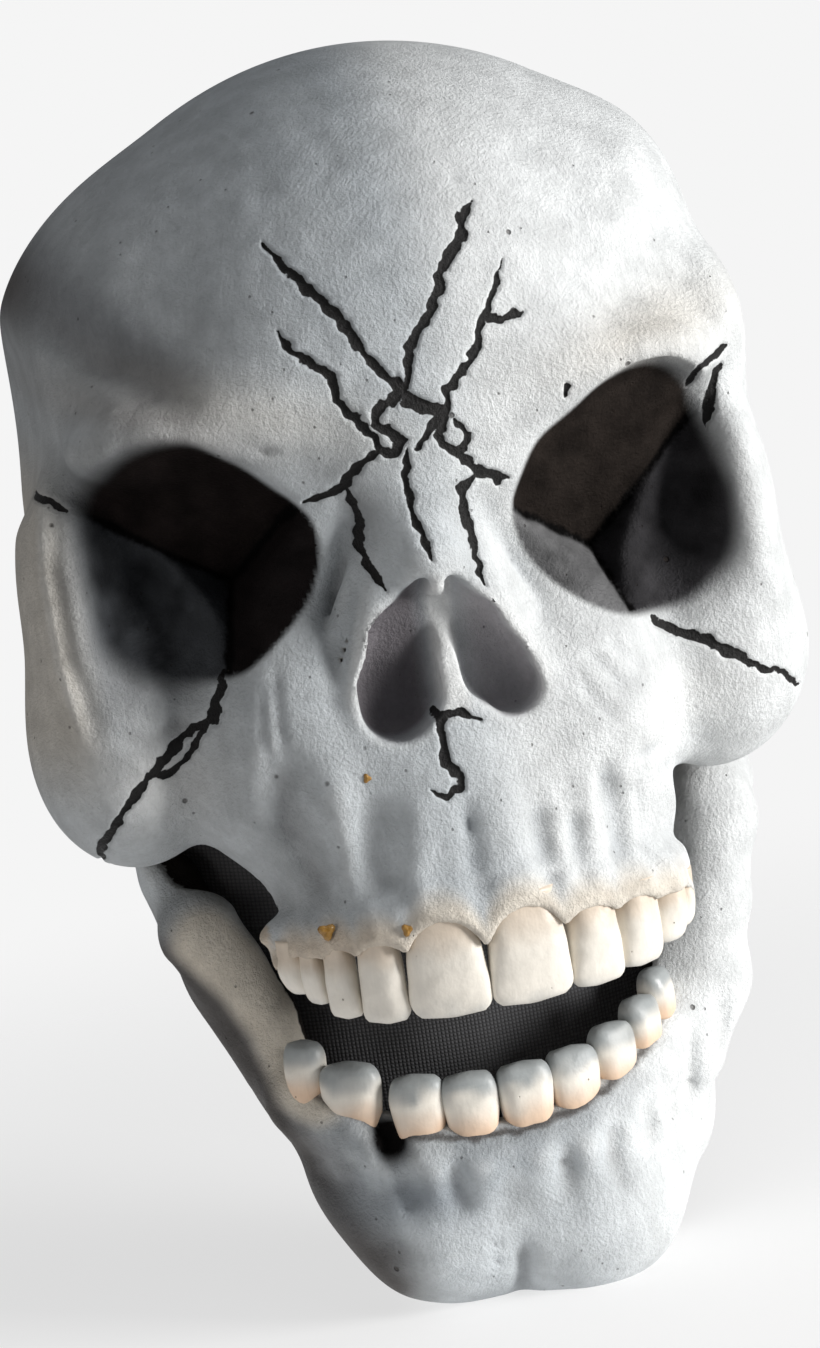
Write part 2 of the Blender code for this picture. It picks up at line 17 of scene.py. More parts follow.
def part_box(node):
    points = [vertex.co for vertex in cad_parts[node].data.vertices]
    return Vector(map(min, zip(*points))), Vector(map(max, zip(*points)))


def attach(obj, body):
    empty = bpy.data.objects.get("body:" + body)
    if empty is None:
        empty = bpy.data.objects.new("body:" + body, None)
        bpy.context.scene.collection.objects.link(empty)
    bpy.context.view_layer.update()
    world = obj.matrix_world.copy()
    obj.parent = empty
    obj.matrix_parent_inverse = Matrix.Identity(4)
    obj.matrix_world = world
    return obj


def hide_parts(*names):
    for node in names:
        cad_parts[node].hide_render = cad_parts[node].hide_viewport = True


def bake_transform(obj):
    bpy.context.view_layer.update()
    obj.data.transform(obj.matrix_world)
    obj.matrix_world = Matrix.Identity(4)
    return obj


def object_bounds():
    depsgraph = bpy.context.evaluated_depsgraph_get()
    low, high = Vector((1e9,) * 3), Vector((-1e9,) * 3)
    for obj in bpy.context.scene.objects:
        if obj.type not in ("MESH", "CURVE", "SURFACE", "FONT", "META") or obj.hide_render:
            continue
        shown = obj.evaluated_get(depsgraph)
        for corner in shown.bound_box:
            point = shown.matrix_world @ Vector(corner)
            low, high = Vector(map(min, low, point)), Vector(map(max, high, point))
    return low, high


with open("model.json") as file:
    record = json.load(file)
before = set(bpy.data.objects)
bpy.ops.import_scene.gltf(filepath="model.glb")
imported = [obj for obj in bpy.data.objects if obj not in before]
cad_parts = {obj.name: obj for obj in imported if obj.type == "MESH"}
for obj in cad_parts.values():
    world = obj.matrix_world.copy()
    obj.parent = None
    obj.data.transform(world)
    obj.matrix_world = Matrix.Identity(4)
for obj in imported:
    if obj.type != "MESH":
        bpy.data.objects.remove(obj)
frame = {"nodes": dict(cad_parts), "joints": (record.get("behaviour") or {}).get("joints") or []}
CAD_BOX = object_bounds()

MM = 0.001
JOINTS = {joint["name"]: joint for joint in frame["joints"]}
HINGE_DEPTH, HINGE_HEIGHT = 100.0, -50.0
HINGE_PIVOT = (HINGE_DEPTH, HINGE_HEIGHT)
BAND_PIVOT = (130.0, 10.0)
HINGE = Vector(JOINTS["jaw_hinge"]["pos_m"])
ORIGIN = HINGE - Vector((0.0, HINGE_DEPTH, HINGE_HEIGHT)) * MM

SIDES = {"left": -1.0, "right": 1.0}

# Clay grid: its step, the distance in empty clay and the margins in which forms blend
CLAY_STEP = 1.25
FAR_AWAY = 60.0
ADD_MARGIN, CUT_MARGIN = 16.0, 12.0

# How far from the outer form a point may lie and still be outside, for paint and for grooves
PAINT_SKIN, GROOVE_SKIN = 1.6, 0.9

# Cracks: how far out they are looked for, and how deep their grooves are. The other three are distances
# inside a crack, negative outside it: where a groove starts, where it is full and where faces are split
CRACK_REACH = 6.0
GROOVE_DEPTH, GROOVE_START, GROOVE_FULL = 0.9, -0.9, 0.7
FINE_START = -2.2

# Skull
WALL = 3.4
RIM_DEPTH = 150.0
THROAT_TOP = -46.0
CHEEK_INNER_X = 57.0
SOCKET_X, SOCKET_HEIGHT = 60.0, 10.0
BOSS_RADIUS = 11.0
SKULL_BOSS_OUTER, SKULL_BOSS_INNER = 106.0, 97.0
JAW_BOSS_OUTER, JAW_BOSS_INNER = 91.5, 85.0
JAW_BOSS_RADIUS = 10.0
RIVET_SEAT_RADIUS = 12.0
RIVET_HOLE_RADIUS = 3.0
BAND_SEAT_X, BAND_SEAT_RADIUS = 98.6, 8.5
BAND_BOSS_INNER, BAND_BOSS_RADIUS = 93.5, 10.5

# Mouth screen
SCREEN_RADIUS, SCREEN_CENTRE_DEPTH = 88.0, 148.0
SCREEN_TOP, SCREEN_BOTTOM = -62.0, -168.0
SCREEN_TOP_ANGLE, SCREEN_BOTTOM_ANGLE = 62.0, 24.0

# Teeth: x, width, height of the gum and of the biting edge
UPPER_TEETH = {
    "central": (11.4, 22.6, -95.0, -122.0),
    "lateral": (29.4, 15.0, -99.5, -121.8),
    "canine": (41.6, 12.6, -100.5, -120.3),
    "premolar": (50.0, 10.8, -103.0, -117.0),
    "molar": (54.6, 9.0, -103.5, -115.0),
}
LOWER_TEETH = {
    "central": (7.8, 16.0, -162.0, -142.8),
    "lateral": (22.0, 15.6, -160.5, -141.8),
    "canine": (34.8, 14.6, -156.5, -138.6),
    "premolar": (45.0, 13.6, -150.0, -134.6),
    "molar": (52.0, 12.4, -144.0, -129.5),
}
SPECIAL_TEETH = {
    ("lower", "premolar", "left"): (39.0, 18.4, -156.0, -137.0),
    ("lower", "molar", "left"): (49.6, 13.0, -149.0, -131.0),
}
MISSING_TOOTH = ("canine", "left")
UPPER_ARCH = {"half_width": 60.0, "depth": 50.0, "front": 3.5}
LOWER_ARCH = {"half_width": 58.0, "depth": 44.0, "front": 24.5}

# Foam pads: share of the CAD block before they swell, voxel and most swelling, pressure, frames
PAD_START, PAD_VOXEL, PAD_SWELLING = 0.93, 3.5, 1.2
PAD_PRESSURE, PAD_FRAMES = 3.0, 12

# Glue beads: x, height, size
GLUE_BEADS = ((-41.0, -94.0, 2.2), (-20.5, -95.0, 1.6), (-24.0, -54.0, 1.2))

# Camera: azimuth, elevation and roll in degrees, place in mask millimetres
CAMERA_TURN = (-7.0, 9.0, 8.7)
CAMERA_PLACE = (-130.19, -983.28, 130.36)
SENSOR, LENS = 36.0, 100.949555

# Lamps: place and size in metres, power in watts, tint
LAMPS = {
    "key": ((1.17, -0.70, 0.38), 0.5, 25.5, (1.0, 0.99, 0.975)),
    "top": ((0.35, -0.35, 1.5), 0.9, 3.4, (0.96, 0.98, 1.0)),
    "fill": ((-1.3, -0.8, 0.30), 0.8, 4.4, (1.0, 0.97, 0.94)),
}
LAMP_TARGET = (0.0, -0.04, 0.19)
SKY_STRENGTH = 0.13
FLOOR_RADIUS, FLOOR_GAP = 0.6, 0.0005


def place(points):
    """Mask millimetres to frame metres, for one point or for a row of them."""
    return np.asarray(points, float) * MM + np.array(ORIGIN)


# Clay ----------------------------------------------------------------------------------------


def smooth_min(a, b, blend):
    if blend <= 0.0:
        return np.minimum(a, b)
    near = np.maximum(blend - np.abs(a - b), 0.0) / blend
    return np.minimum(a, b) - near * near * (blend * 0.25)


def spot(x, z, centre, radii, turn=0.0):
    """A soft oval spot seen from the front, 1 in its middle; turn is in degrees."""
    cos, sin = math.cos(math.radians(turn)), math.sin(math.radians(turn))
    x, z = x - centre[0], z - centre[1]
    u, w = (cos * x + sin * z) / radii[0], (cos * z - sin * x) / radii[1]
    return np.exp(-(u * u + w * w))


def fade(value, start, end):
    """0 at start, 1 at end and smooth between; start may be the larger one."""
    part = np.clip((value - start) / (end - start), 0.0, 1.0)
    return part * part * (3.0 - 2.0 * part)


class Clay:
    """Signed distances on a grid, negative inside the clay."""

    def __init__(self, low, high, step):
        self.low = np.array(low, float)
        self.step = step
        counts = [int(math.ceil((b - a) / step)) + 1 for a, b in zip(low, high)]
        self.axes = [(a + step * np.arange(n)).astype(np.float32) for a, n in zip(low, counts)]
        self.value = np.full(counts, FAR_AWAY, np.float32)

    @classmethod
    def like(cls, other):
        """An empty block on the same grid."""
        made = cls.__new__(cls)
        made.low, made.step, made.axes = other.low, other.step, other.axes
        made.value = np.full_like(other.value, FAR_AWAY)
        return made

    def window(self, low, high):
        """The grid's part between two corners, and its coordinates."""
        cuts = []
        for axis, a, b in zip(self.axes, low, high):
            first, last = np.searchsorted(axis, [a, b])
            cuts.append(slice(int(first), int(last)))
        x, y, z = (axis[cut] for axis, cut in zip(self.axes, cuts))
        return tuple(cuts), x[:, None, None], y[None, :, None], z[None, None, :]

    def add(self, form, blend=10.0):
        low, high, distance = form
        cut, x, y, z = self.window(low - ADD_MARGIN, high + ADD_MARGIN)
        self.value[cut] = smooth_min(self.value[cut], distance(x, y, z), blend)

    def cut(self, form, blend=3.0):
        low, high, distance = form
        cut, x, y, z = self.window(low - CUT_MARGIN, high + CUT_MARGIN)
        self.value[cut] = -smooth_min(-self.value[cut], distance(x, y, z), blend)

    def press(self, relief, start=70.0, end=105.0):
        """Pushes in what faces forwards, by relief(x, height) millimetres, less towards the back."""
        amount = fade(self.axes[1], end, start)
        facing = fade(-np.gradient(self.value, self.step, axis=1), 0.15, 0.6)
        self.value += (relief[:, None, :] * amount[None, :, None] * facing).astype(np.float32)

    def samples(self, field, points):
        """The field's values at free points, by trilinear interpolation."""
        grid = (points - self.low) / self.step
        top = np.array(field.shape) - 2
        base = np.clip(np.floor(grid).astype(int), 0, top)
        part = grid - base
        total = np.zeros(len(points))
        for corner in np.ndindex(2, 2, 2):
            weight = np.ones(len(points))
            for axis in range(3):
                side = part[:, axis]
                weight = weight * (side if corner[axis] else 1.0 - side)
            i, j, k = (base + corner).T
            total += weight * field[i, j, k]
        return total

    def gradients(self, field, points):
        reach = self.step * 0.6
        columns = []
        for axis in range(3):
            shift = np.zeros(3)
            shift[axis] = reach
            ahead = self.samples(field, points + shift)
            behind = self.samples(field, points - shift)
            columns.append((ahead - behind) / (2.0 * reach))
        return np.array(columns).T

    def blurred(self, radius):
        """The distances averaged over the neighbourhood, for telling hollows from ridges."""
        half = max(1, int(round(radius / self.step / 1.5)))
        field = self.value.clip(-12.0, 12.0)
        for axis in (0, 1, 2, 0, 1, 2):
            pad = [(0, 0)] * 3
            pad[axis] = (half + 1, half)
            total = np.cumsum(np.pad(field, pad, mode="edge"), axis=axis, dtype=np.float64)
            count = 2 * half + 1
            ahead = np.take(total, range(count, total.shape[axis]), axis=axis)
            behind = np.take(total, range(0, total.shape[axis] - count), axis=axis)
            field = ((ahead - behind) / count).astype(np.float32)
        return field

    def surface(self):
        """The zero surface as points in millimetres and four-cornered faces (surface nets)."""
        value = self.value
        inside = value < 0.0
        shape = np.array(value.shape) - 1
        corners = list(np.ndindex(2, 2, 2))
        total = np.zeros(shape, np.int8)
        for i, j, k in corners:
            total += inside[i : i + shape[0], j : j + shape[1], k : k + shape[2]]
        active = (total > 0) & (total < 8)
        cells = np.argwhere(active)
        index = np.full(shape, -1, np.int32)
        index[active] = np.arange(len(cells))
        sums = np.zeros((len(cells), 3))
        counts = np.zeros(len(cells))
        for a in corners:
            for axis in range(3):
                if a[axis]:
                    continue
                b = tuple(1 if n == axis else a[n] for n in range(3))
                va = value[tuple((cells + a).T)]
                vb = value[tuple((cells + b).T)]
                crossing = (va < 0.0) != (vb < 0.0)
                part = np.where(crossing, va / np.where(crossing, va - vb, 1.0), 0.0)
                point = np.tile(np.array(a, float), (len(cells), 1))
                point[:, axis] = part
                sums += point * crossing[:, None]
                counts += crossing
        points = self.low + self.step * (cells + sums / counts[:, None])
        faces = []
        for axis in range(3):
            one, two = [n for n in range(3) if n != axis]
            if axis == 1:
                one, two = two, one
            here = [slice(1, -1)] * 3
            ahead = [slice(1, -1)] * 3
            here[axis] = slice(0, -1)
            ahead[axis] = slice(1, None)
            start, end = inside[tuple(here)], inside[tuple(ahead)]
            for out_first in (True, False):
                found = np.argwhere((~start & end) if out_first else (start & ~end))
                base = found + 1
                base[:, axis] -= 1
                quad = []
                for da, db in ((0, 0), (-1, 0), (-1, -1), (0, -1)):
                    cell = base.copy()
                    cell[:, one] += da
                    cell[:, two] += db
                    quad.append(index[tuple(cell.T)])
                quad = np.array(quad).T
                faces.append(quad[:, ::-1] if out_first else quad)
        return points, np.concatenate(faces)

    def settled(self, points, rounds=2):
        """The points moved onto the exact surface."""
        for _ in range(rounds):
            slope = self.gradients(self.value, points)
            size = np.maximum((slope**2).sum(1), 0.15)
            move = self.samples(self.value, points)[:, None] * slope / size[:, None]
            points = points - np.clip(move, -0.8, 0.8)
        return points


def relaxed(points, faces, rounds, amount=0.5):
    """The points eased towards the middle of their neighbours."""
    count = np.zeros(len(points))
    for a in range(4):
        count += np.bincount(faces[:, a], minlength=len(points))
    for _ in range(rounds):
        centre = points[faces].mean(1)
        total = np.zeros_like(points)
        for a in range(4):
            for axis in range(3):
                total[:, axis] += np.bincount(faces[:, a], centre[:, axis], len(points))
        points = points + amount * (total / count[:, None] - points)
    return points


# Forms: (low corner, high corner, distance function) ---------------------------------------------


def ellipsoid(centre, radii, turn=0.0):
    """turn is about the front-to-back axis, in degrees."""
    centre, radii = np.array(centre, float), np.array(radii, float)
    reach = radii.max() if turn else radii
    cos, sin = math.cos(math.radians(turn)), math.sin(math.radians(turn))
    small = radii.min()

    def distance(x, y, z):
        x, y, z = x - centre[0], y - centre[1], z - centre[2]
        u = (cos * x - sin * z) / radii[0]
        v = y / radii[1]
        w = (sin * x + cos * z) / radii[2]
        near = np.sqrt(u * u + v * v + w * w + 1e-4)
        slope = np.sqrt((u / radii[0]) ** 2 + (v / radii[1]) ** 2 + (w / radii[2]) ** 2 + 1e-4 / small**2)
        return near * (near - 1.0) / slope

    return centre - reach, centre + reach, distance


def rod(a, b, radius_a, radius_b):
    """A round-ended rod from a to b that may taper."""
    a, b = np.array(a, float), np.array(b, float)
    line = b - a
    length = float(line @ line)
    reach = max(radius_a, radius_b)

    def distance(x, y, z):
        x, y, z = x - a[0], y - a[1], z - a[2]
        part = np.clip((x * line[0] + y * line[1] + z * line[2]) / length, 0.0, 1.0)
        x, y, z = x - part * line[0], y - part * line[1], z - part * line[2]
        return np.sqrt(x * x + y * y + z * z) - (radius_a + part * (radius_b - radius_a))

    return np.minimum(a, b) - reach, np.maximum(a, b) + reach, distance


def pin(x_from, x_to, depth, height, radius):
    """A cylinder along x."""
    low, high = sorted((x_from, x_to))
    middle, half = (low + high) / 2.0, (high - low) / 2.0

    def distance(x, y, z):
        round_side = np.hypot(y - depth, z - height) - radius
        return np.maximum(round_side, np.abs(x - middle) - half)

    middle_line = np.array((0.0, depth, height))
    reach = np.array((0.0, radius, radius))
    return middle_line - reach + (low, 0.0, 0.0), middle_line + reach + (high, 0.0, 0.0), distance


def upright_tube(centre_depth, radius_x, radius_depth, top):
    """An elliptic cylinder about a vertical axis, open at the bottom."""

    def distance(x, y, z):
        u, v = x / radius_x, (y - centre_depth) / radius_depth
        near = np.sqrt(u * u + v * v + 1e-6)
        side = (near - 1.0) * near / np.sqrt((u / radius_x) ** 2 + (v / radius_depth) ** 2 + 1e-9)
        return np.maximum(side, z - top)

    return (
        np.array((-radius_x, centre_depth - radius_depth, -260.0)),
        np.array((radius_x, centre_depth + radius_depth, top)),
        distance,
    )


def box(low, high):
    low, high = np.array(low, float), np.array(high, float)
    middle, half = (low + high) / 2.0, (high - low) / 2.0

    def distance(x, y, z):
        side = np.maximum(np.abs(x - middle[0]) - half[0], np.abs(y - middle[1]) - half[1])
        return np.maximum(side, np.abs(z - middle[2]) - half[2])

    return low, high, distance


def side_profile(outline, x_from, x_to):
    """A plate from x_from to x_to with a closed outline of (depth, height) points."""
    outline = np.array((*outline, outline[0]), float)
    low, high = sorted((x_from, x_to))

    def distance(x, y, z):
        depth, height = np.broadcast_arrays(y[0], z[0])
        nearest, _ = path_distance(depth, height, outline)
        within = np.zeros(depth.shape, bool)
        for a, b in zip(outline, outline[1:]):
            if a[1] != b[1]:
                crosses = (a[1] > height) != (b[1] > height)
                at = a[0] + (height - a[1]) / (b[1] - a[1]) * (b[0] - a[0])
                within ^= crosses & (depth < at)
        flat = np.where(within, -nearest, nearest)[None]
        return np.maximum(flat, np.maximum(low - x, x - high))

    return (
        np.array((low, outline[:, 0].min(), outline[:, 1].min())),
        np.array((high, outline[:, 0].max(), outline[:, 1].max())),
        distance,
    )


def pit(apex, arms, rim):
    """A three-sided pit: its flat facets meet along three arms that start at the apex. rim(x, height)
    is the distance outside the pit's outline as seen from the front."""
    apex = np.array(apex, float)
    rays = [np.array(end, float) - apex for end in arms]
    normals = []
    for a, b in zip(rays, rays[1:] + rays[:1]):
        normal = np.cross(a, b)
        normal /= np.linalg.norm(normal)
        normals.append(normal if normal[1] < 0.0 else -normal)

    def distance(x, y, z):
        x0, y0, z0 = x - apex[0], y - apex[1], z - apex[2]
        sides = [-(n[0] * x0 + n[1] * y0 + n[2] * z0) for n in normals]
        facets = np.maximum(np.maximum(sides[0], sides[1]), sides[2])
        return -smooth_min(-facets, -(rim(x, z) + 0.0 * y), 7.0)

    reach = np.array((46.0, 0.0, 46.0))
    low, high = apex - reach, apex + reach
    low[1], high[1] = -10.0, apex[1] + 2.0
    return low, high, distance


# Strokes: the front surface seen as a flat picture of (x, height) -------------------------------


def line_distance(x, z, a, b):
    """Distance to the line from a to b, and how far along it the nearest point is, from 0 to 1."""
    line = b - a
    part = np.clip(((x - a[0]) * line[0] + (z - a[1]) * line[1]) / (line @ line), 0.0, 1.0)
    return np.hypot(x - a[0] - part * line[0], z - a[1] - part * line[1]), part


def path_distance(x, z, points):
    """Distance to a path, and how far along it the nearest point is, from 0 to 1."""
    points = np.array(points, float)
    lengths = np.hypot(*(points[1:] - points[:-1]).T)
    ends = np.concatenate(([0.0], np.cumsum(lengths)))
    best = np.full(np.broadcast(x, z).shape, 1e9)
    along = np.zeros_like(best)
    for a, b, start, length in zip(points, points[1:], ends, lengths):
        gap, part = line_distance(x, z, a, b)
        nearer = gap < best
        along = np.where(nearer, (start + part * length) / ends[-1], along)
        best = np.where(nearer, gap, best)
    return best, along


class Relief:
    """A picture of how deep the front surface is pressed in; negative values raise it."""

    def __init__(self, clay):
        self.x = clay.axes[0].astype(float)[:, None]
        self.z = clay.axes[2].astype(float)[None, :]
        self.depth = np.zeros((len(clay.axes[0]), len(clay.axes[2])))

    def stroke(self, points, width, depth, tips=0.25):
        """A groove (depth > 0) or a ridge (depth < 0) along a path, shallower over its tips."""
        gap, along = path_distance(self.x, self.z, points)
        ends = 1.0 if tips <= 0.0 else fade(np.minimum(along, 1.0 - along), -0.3 * tips, tips)
        self.depth += depth * ends * np.exp(-((gap / width) ** 2))

    def dent(self, centre, radii, depth, turn=0.0):
        self.depth += depth * spot(self.x, self.z, centre, radii, turn)


def waves(x, z, size, seed):
    """Smooth random hills of about that size, from -1 to 1."""
    rows, columns = 97, 89
    table = np.random.default_rng(seed).uniform(-1.0, 1.0, (rows, columns))
    u, w = x / size + 40.0, z / size + 40.0
    u, w = np.broadcast_arrays(u, w)
    i, j = np.floor(u).astype(int), np.floor(w).astype(int)
    p, q = u - i, w - j
    p, q = p * p * (3.0 - 2.0 * p), q * q * (3.0 - 2.0 * q)

    def at(a, b):
        return table[(i + a) % rows, (j + b) % columns]

    near = at(0, 0) * (1.0 - p) + at(1, 0) * p
    far = at(0, 1) * (1.0 - p) + at(1, 1) * p
    return near * (1.0 - q) + far * q


# Skull ---------------------------------------------------------------------------------------

# Outline of the room under the cheekbones, seen from the side: depth, height
UNDER_CHEEK_OUTLINE = [(-30, -66), (50, -66), (78, -66), (100, -64), (200, -50), (200, -230), (-30, -230)]

# Crack paths as (x, height), each with its half width at the start and at the end
CRACKS = [
    ([(-28, 91), (-24, 84), (-19, 77), (-12, 67), (-7, 57), (0, 49)], 0.8, 1.1),
    ([(29, 93), (25, 90), (24, 86), (21, 82), (16, 76), (13, 70), (11, 67), (4, 58), (1, 48)], 1.0, 1.1),
    ([(34, 77), (29, 69), (25, 63), (22, 56), (17, 50), (12, 46), (11, 39)], 0.35, 1.1),
    ([(25, 63), (30, 62), (36, 63)], 0.8, 0.7),
    ([(-29, 68), (-27, 62), (-21, 58), (-17, 54), (-17, 48), (-13, 42), (-9, 36)], 0.7, 1.1),
    ([(-9, 41), (-5, 38), (-2, 35), (-4, 32), (-8, 32)], 0.9, 1.0),
    ([(-9, 38), (-8, 34), (-5, 31)], 0.9, 0.9),
    ([(1, 48), (-3, 46), (-7, 43), (-9, 40)], 1.4, 1.1),
    ([(0, 47), (4, 43), (8, 41), (11, 39)], 1.6, 1.1),
    ([(10, 40), (6, 37), (4, 34), (1, 32)], 1.0, 0.7),
    ([(11, 39), (8, 35), (9, 32), (12, 29), (16, 26), (19, 22), (23, 20), (27, 19)], 1.0, 1.1),
    ([(13, 38), (16, 34), (15, 30), (12, 30)], 0.6, 0.6),
    ([(-8, 33), (-12, 31), (-16, 28), (-18, 25), (-23, 23), (-29, 22)], 1.0, 0.8),
    ([(-18, 25), (-16, 20), (-15, 13), (-16, 8), (-14, 2), (-11, -5)], 0.9, 0.8),
    ([(-1, 32), (-2, 25), (-2, 17), (0, 9), (2, 2)], 0.8, 0.5),
    ([(17, 22), (13, 19), (13, 13), (14, 6), (14, 0), (16, -8)], 0.9, 0.6),
    ([(96, 43), (90, 41), (85, 39), (83, 34)], 0.8, 0.8),
    ([(94, 38), (91, 33), (90, 27), (88, 21)], 0.9, 0.7),
    ([(45, 42), (44, 38)], 0.5, 0.8),
    ([(-2, 50), (1, 47)], 1.5, 1.7),
    ([(7, 43), (9, 41), (10, 38)], 1.5, 1.6),
    ([(-102, 35), (-97, 31), (-90, 27)], 1.2, 0.6),
    ([(-56, -22), (-59, -28), (-61, -34), (-67, -37), (-73, -41), (-79, -46), (-83, -50), (-88, -55),
      (-93, -62), (-96, -68), (-96, -73)], 0.9, 0.9),
    ([(-61, -34), (-66, -40), (-71, -46), (-77, -48), (-81, -46)], 0.6, 0.6),
    ([(64, -28), (70, -33), (77, -36), (84, -41), (91, -46), (99, -50), (105, -56)], 1.1, 0.6),
    ([(8, -43), (3, -40), (-2, -41), (-3, -47), (-3, -53), (0, -56), (0, -60), (-4, -62), (-8, -59)],
     0.9, 0.7),
]

SOCKET_ARMS = {
    -1.0: {"apex": (-50.0, 50.0, 0.0), "arms": [(-92, 36, 28), (-57, 20, -26), (-27, 20, 26)]},
    1.0: {"apex": (51.0, 50.0, -7.0), "arms": [(24, 22, 12), (58, 22, -30), (96, 42, 36)]},
}

# Eye openings: radius at some angles about the middle, from the temple (0 degrees) upwards
SOCKET_RADII = {
    -1.0: [(-160, 33.5), (-128, 31.5), (-95, 34), (-68, 40.5), (-45, 43), (-12, 36.5), (10, 35.5),
           (40, 39), (62, 41), (85, 34), (115, 28.5), (145, 27.5), (170, 33.5)],
    1.0: [(-170, 34.5), (-145, 33.5), (-120, 33.5), (-95, 35.5), (-68, 40.5), (-45, 40.5), (-18, 35),
          (5, 31), (28, 31.5), (50, 36.5), (70, 38), (95, 32), (122, 28.5), (150, 32)],
}


def socket_rim(side):
    """Distance outside the eye opening's outline as seen from the front, in millimetres."""

    def outside(x, z):
        u, w = x * side - SOCKET_X, z - SOCKET_HEIGHT
        angle = np.degrees(np.arctan2(w, u))
        total, weights = 0.0, 0.0
        for spot, radius in SOCKET_RADII[side]:
            turn = (angle - spot + 180.0) % 360.0 - 180.0
            weight = np.exp(-((turn / 19.0) ** 2)) + 1e-9
            total, weights = total + weight * radius, weights + weight
        return np.hypot(u, w) - total / weights

    return outside


# The two halves of the nose opening from the top down: x, height, radius
NOSTRILS = (
    [(-2.6, -5.0, 2.4), (-9.0, -19.0, 9.4), (-12.2, -33.0, 11.4), (-13.5, -37.0, 9.0)],
    [(5.2, -5.0, 1.8), (10.6, -18.0, 7.0), (15.0, -31.0, 9.2), (18.6, -36.4, 7.8)],
)


def nostril_outline(path, x, z):
    """Distance outside one half of the nose opening as seen from the front."""
    best = None
    path = np.array(path)
    for a, b in zip(path, path[1:]):
        gap, part = line_distance(x, z, a[:2], b[:2])
        gap = gap - (a[2] + part * (b[2] - a[2]))
        best = gap if best is None else smooth_min(best, gap, 2.0)
    return best


def nostril_form(path):
    """A well with that outline, cut in from the front."""

    def distance(x, y, z):
        floor = 17.0 + 8.0 * fade(z, 0.0, -30.0)
        return -smooth_min(-nostril_outline(path, x, z) + 0.0 * y, -(y - floor), 6.0)

    xs, zs, rs = np.array(path).T
    low = np.array((min(xs - rs), -12.0, min(zs - rs)))
    high = np.array((max(xs + rs), 28.0, max(zs + rs)))
    return low, high, distance


def skull_masses(clay):
    # braincase, the whole face, the room under the cheekbones and the upper jaw
    clay.add(ellipsoid((0.0, 110.0, 50.0), (99.0, 107.0, 90.0)), 0.0)
    clay.add(ellipsoid((0.0, 112.0, -30.0), (105.0, 87.0, 160.0)), 14.0)
    for side in SIDES.values():
        clay.cut(side_profile(UNDER_CHEEK_OUTLINE, side * CHEEK_INNER_X, side * 140.0), 8.0)
    clay.add(ellipsoid((0.0, 60.0, -62.0), (54.0, 56.0, 60.0)), 14.0)
    clay.add(ellipsoid((0.0, 41.0, -93.0), (54.0, 38.0, 26.0)), 12.0)
    # between the brows, the nose bridge and the flare of the right temple
    clay.add(ellipsoid((0.0, 32.0, 36.0), (24.0, 25.0, 22.0)), 14.0)
    clay.add(rod((0.0, 25.0, 34.0), (1.0, 14.0, 2.0), 13.0, 10.5), 9.0)
    clay.add(ellipsoid((93.0, 66.0, 48.0), (13.0, 28.0, 19.0)), 7.0)
    # on each side: dome, brow, cheekbone, outer edge of the eye, upper jaw, nose wing and pivot boss
    for side in SIDES.values():
        clay.add(ellipsoid((side * 64.0 + 1.0, 92.0, 67.0), (33.0, 54.0, 42.0)), 20.0)
        clay.add(ellipsoid((side * 48.0, 36.0, 46.0), (42.0, 27.0, 15.0), side * 6.0), 14.0)
        clay.add(ellipsoid((side * 82.0 - 1.5, 64.0, -43.0), (27.5, 33.0, 34.5)), 10.0)
        clay.add(ellipsoid((side * 94.5 - 0.5, 66.0, -4.0), (13.0, 34.0, 40.0)), 14.0)
        clay.add(ellipsoid((side * 37.0, 46.0, -48.0), (31.0, 35.0, 44.0)), 12.0)
        clay.add(rod((side * 12.0, 20.0, 2.0), (side * 24.0, 20.0, -30.0), 7.0, 8.0), 8.0)
        clay.add(pin(side * 88.0, side * SKULL_BOSS_OUTER, *HINGE_PIVOT, BOSS_RADIUS), 6.0)


def skull_hollows(clay):
    # eye cups, temples, hollows under the cheekbones and the nose opening
    for side in SIDES.values():
        clay.cut(pit(SOCKET_ARMS[side]["apex"], SOCKET_ARMS[side]["arms"], socket_rim(side)), 2.5)
        clay.cut(ellipsoid((side * 113.0 + 5.5, 82.0, 52.0), (13.0, 46.0, 27.0)), 9.0)
        clay.cut(ellipsoid((side * 62.0, 8.0, -84.0), (10.0, 22.0, 18.0)), 9.0)
    for path in NOSTRILS:
        clay.cut(nostril_form(path), 1.6)


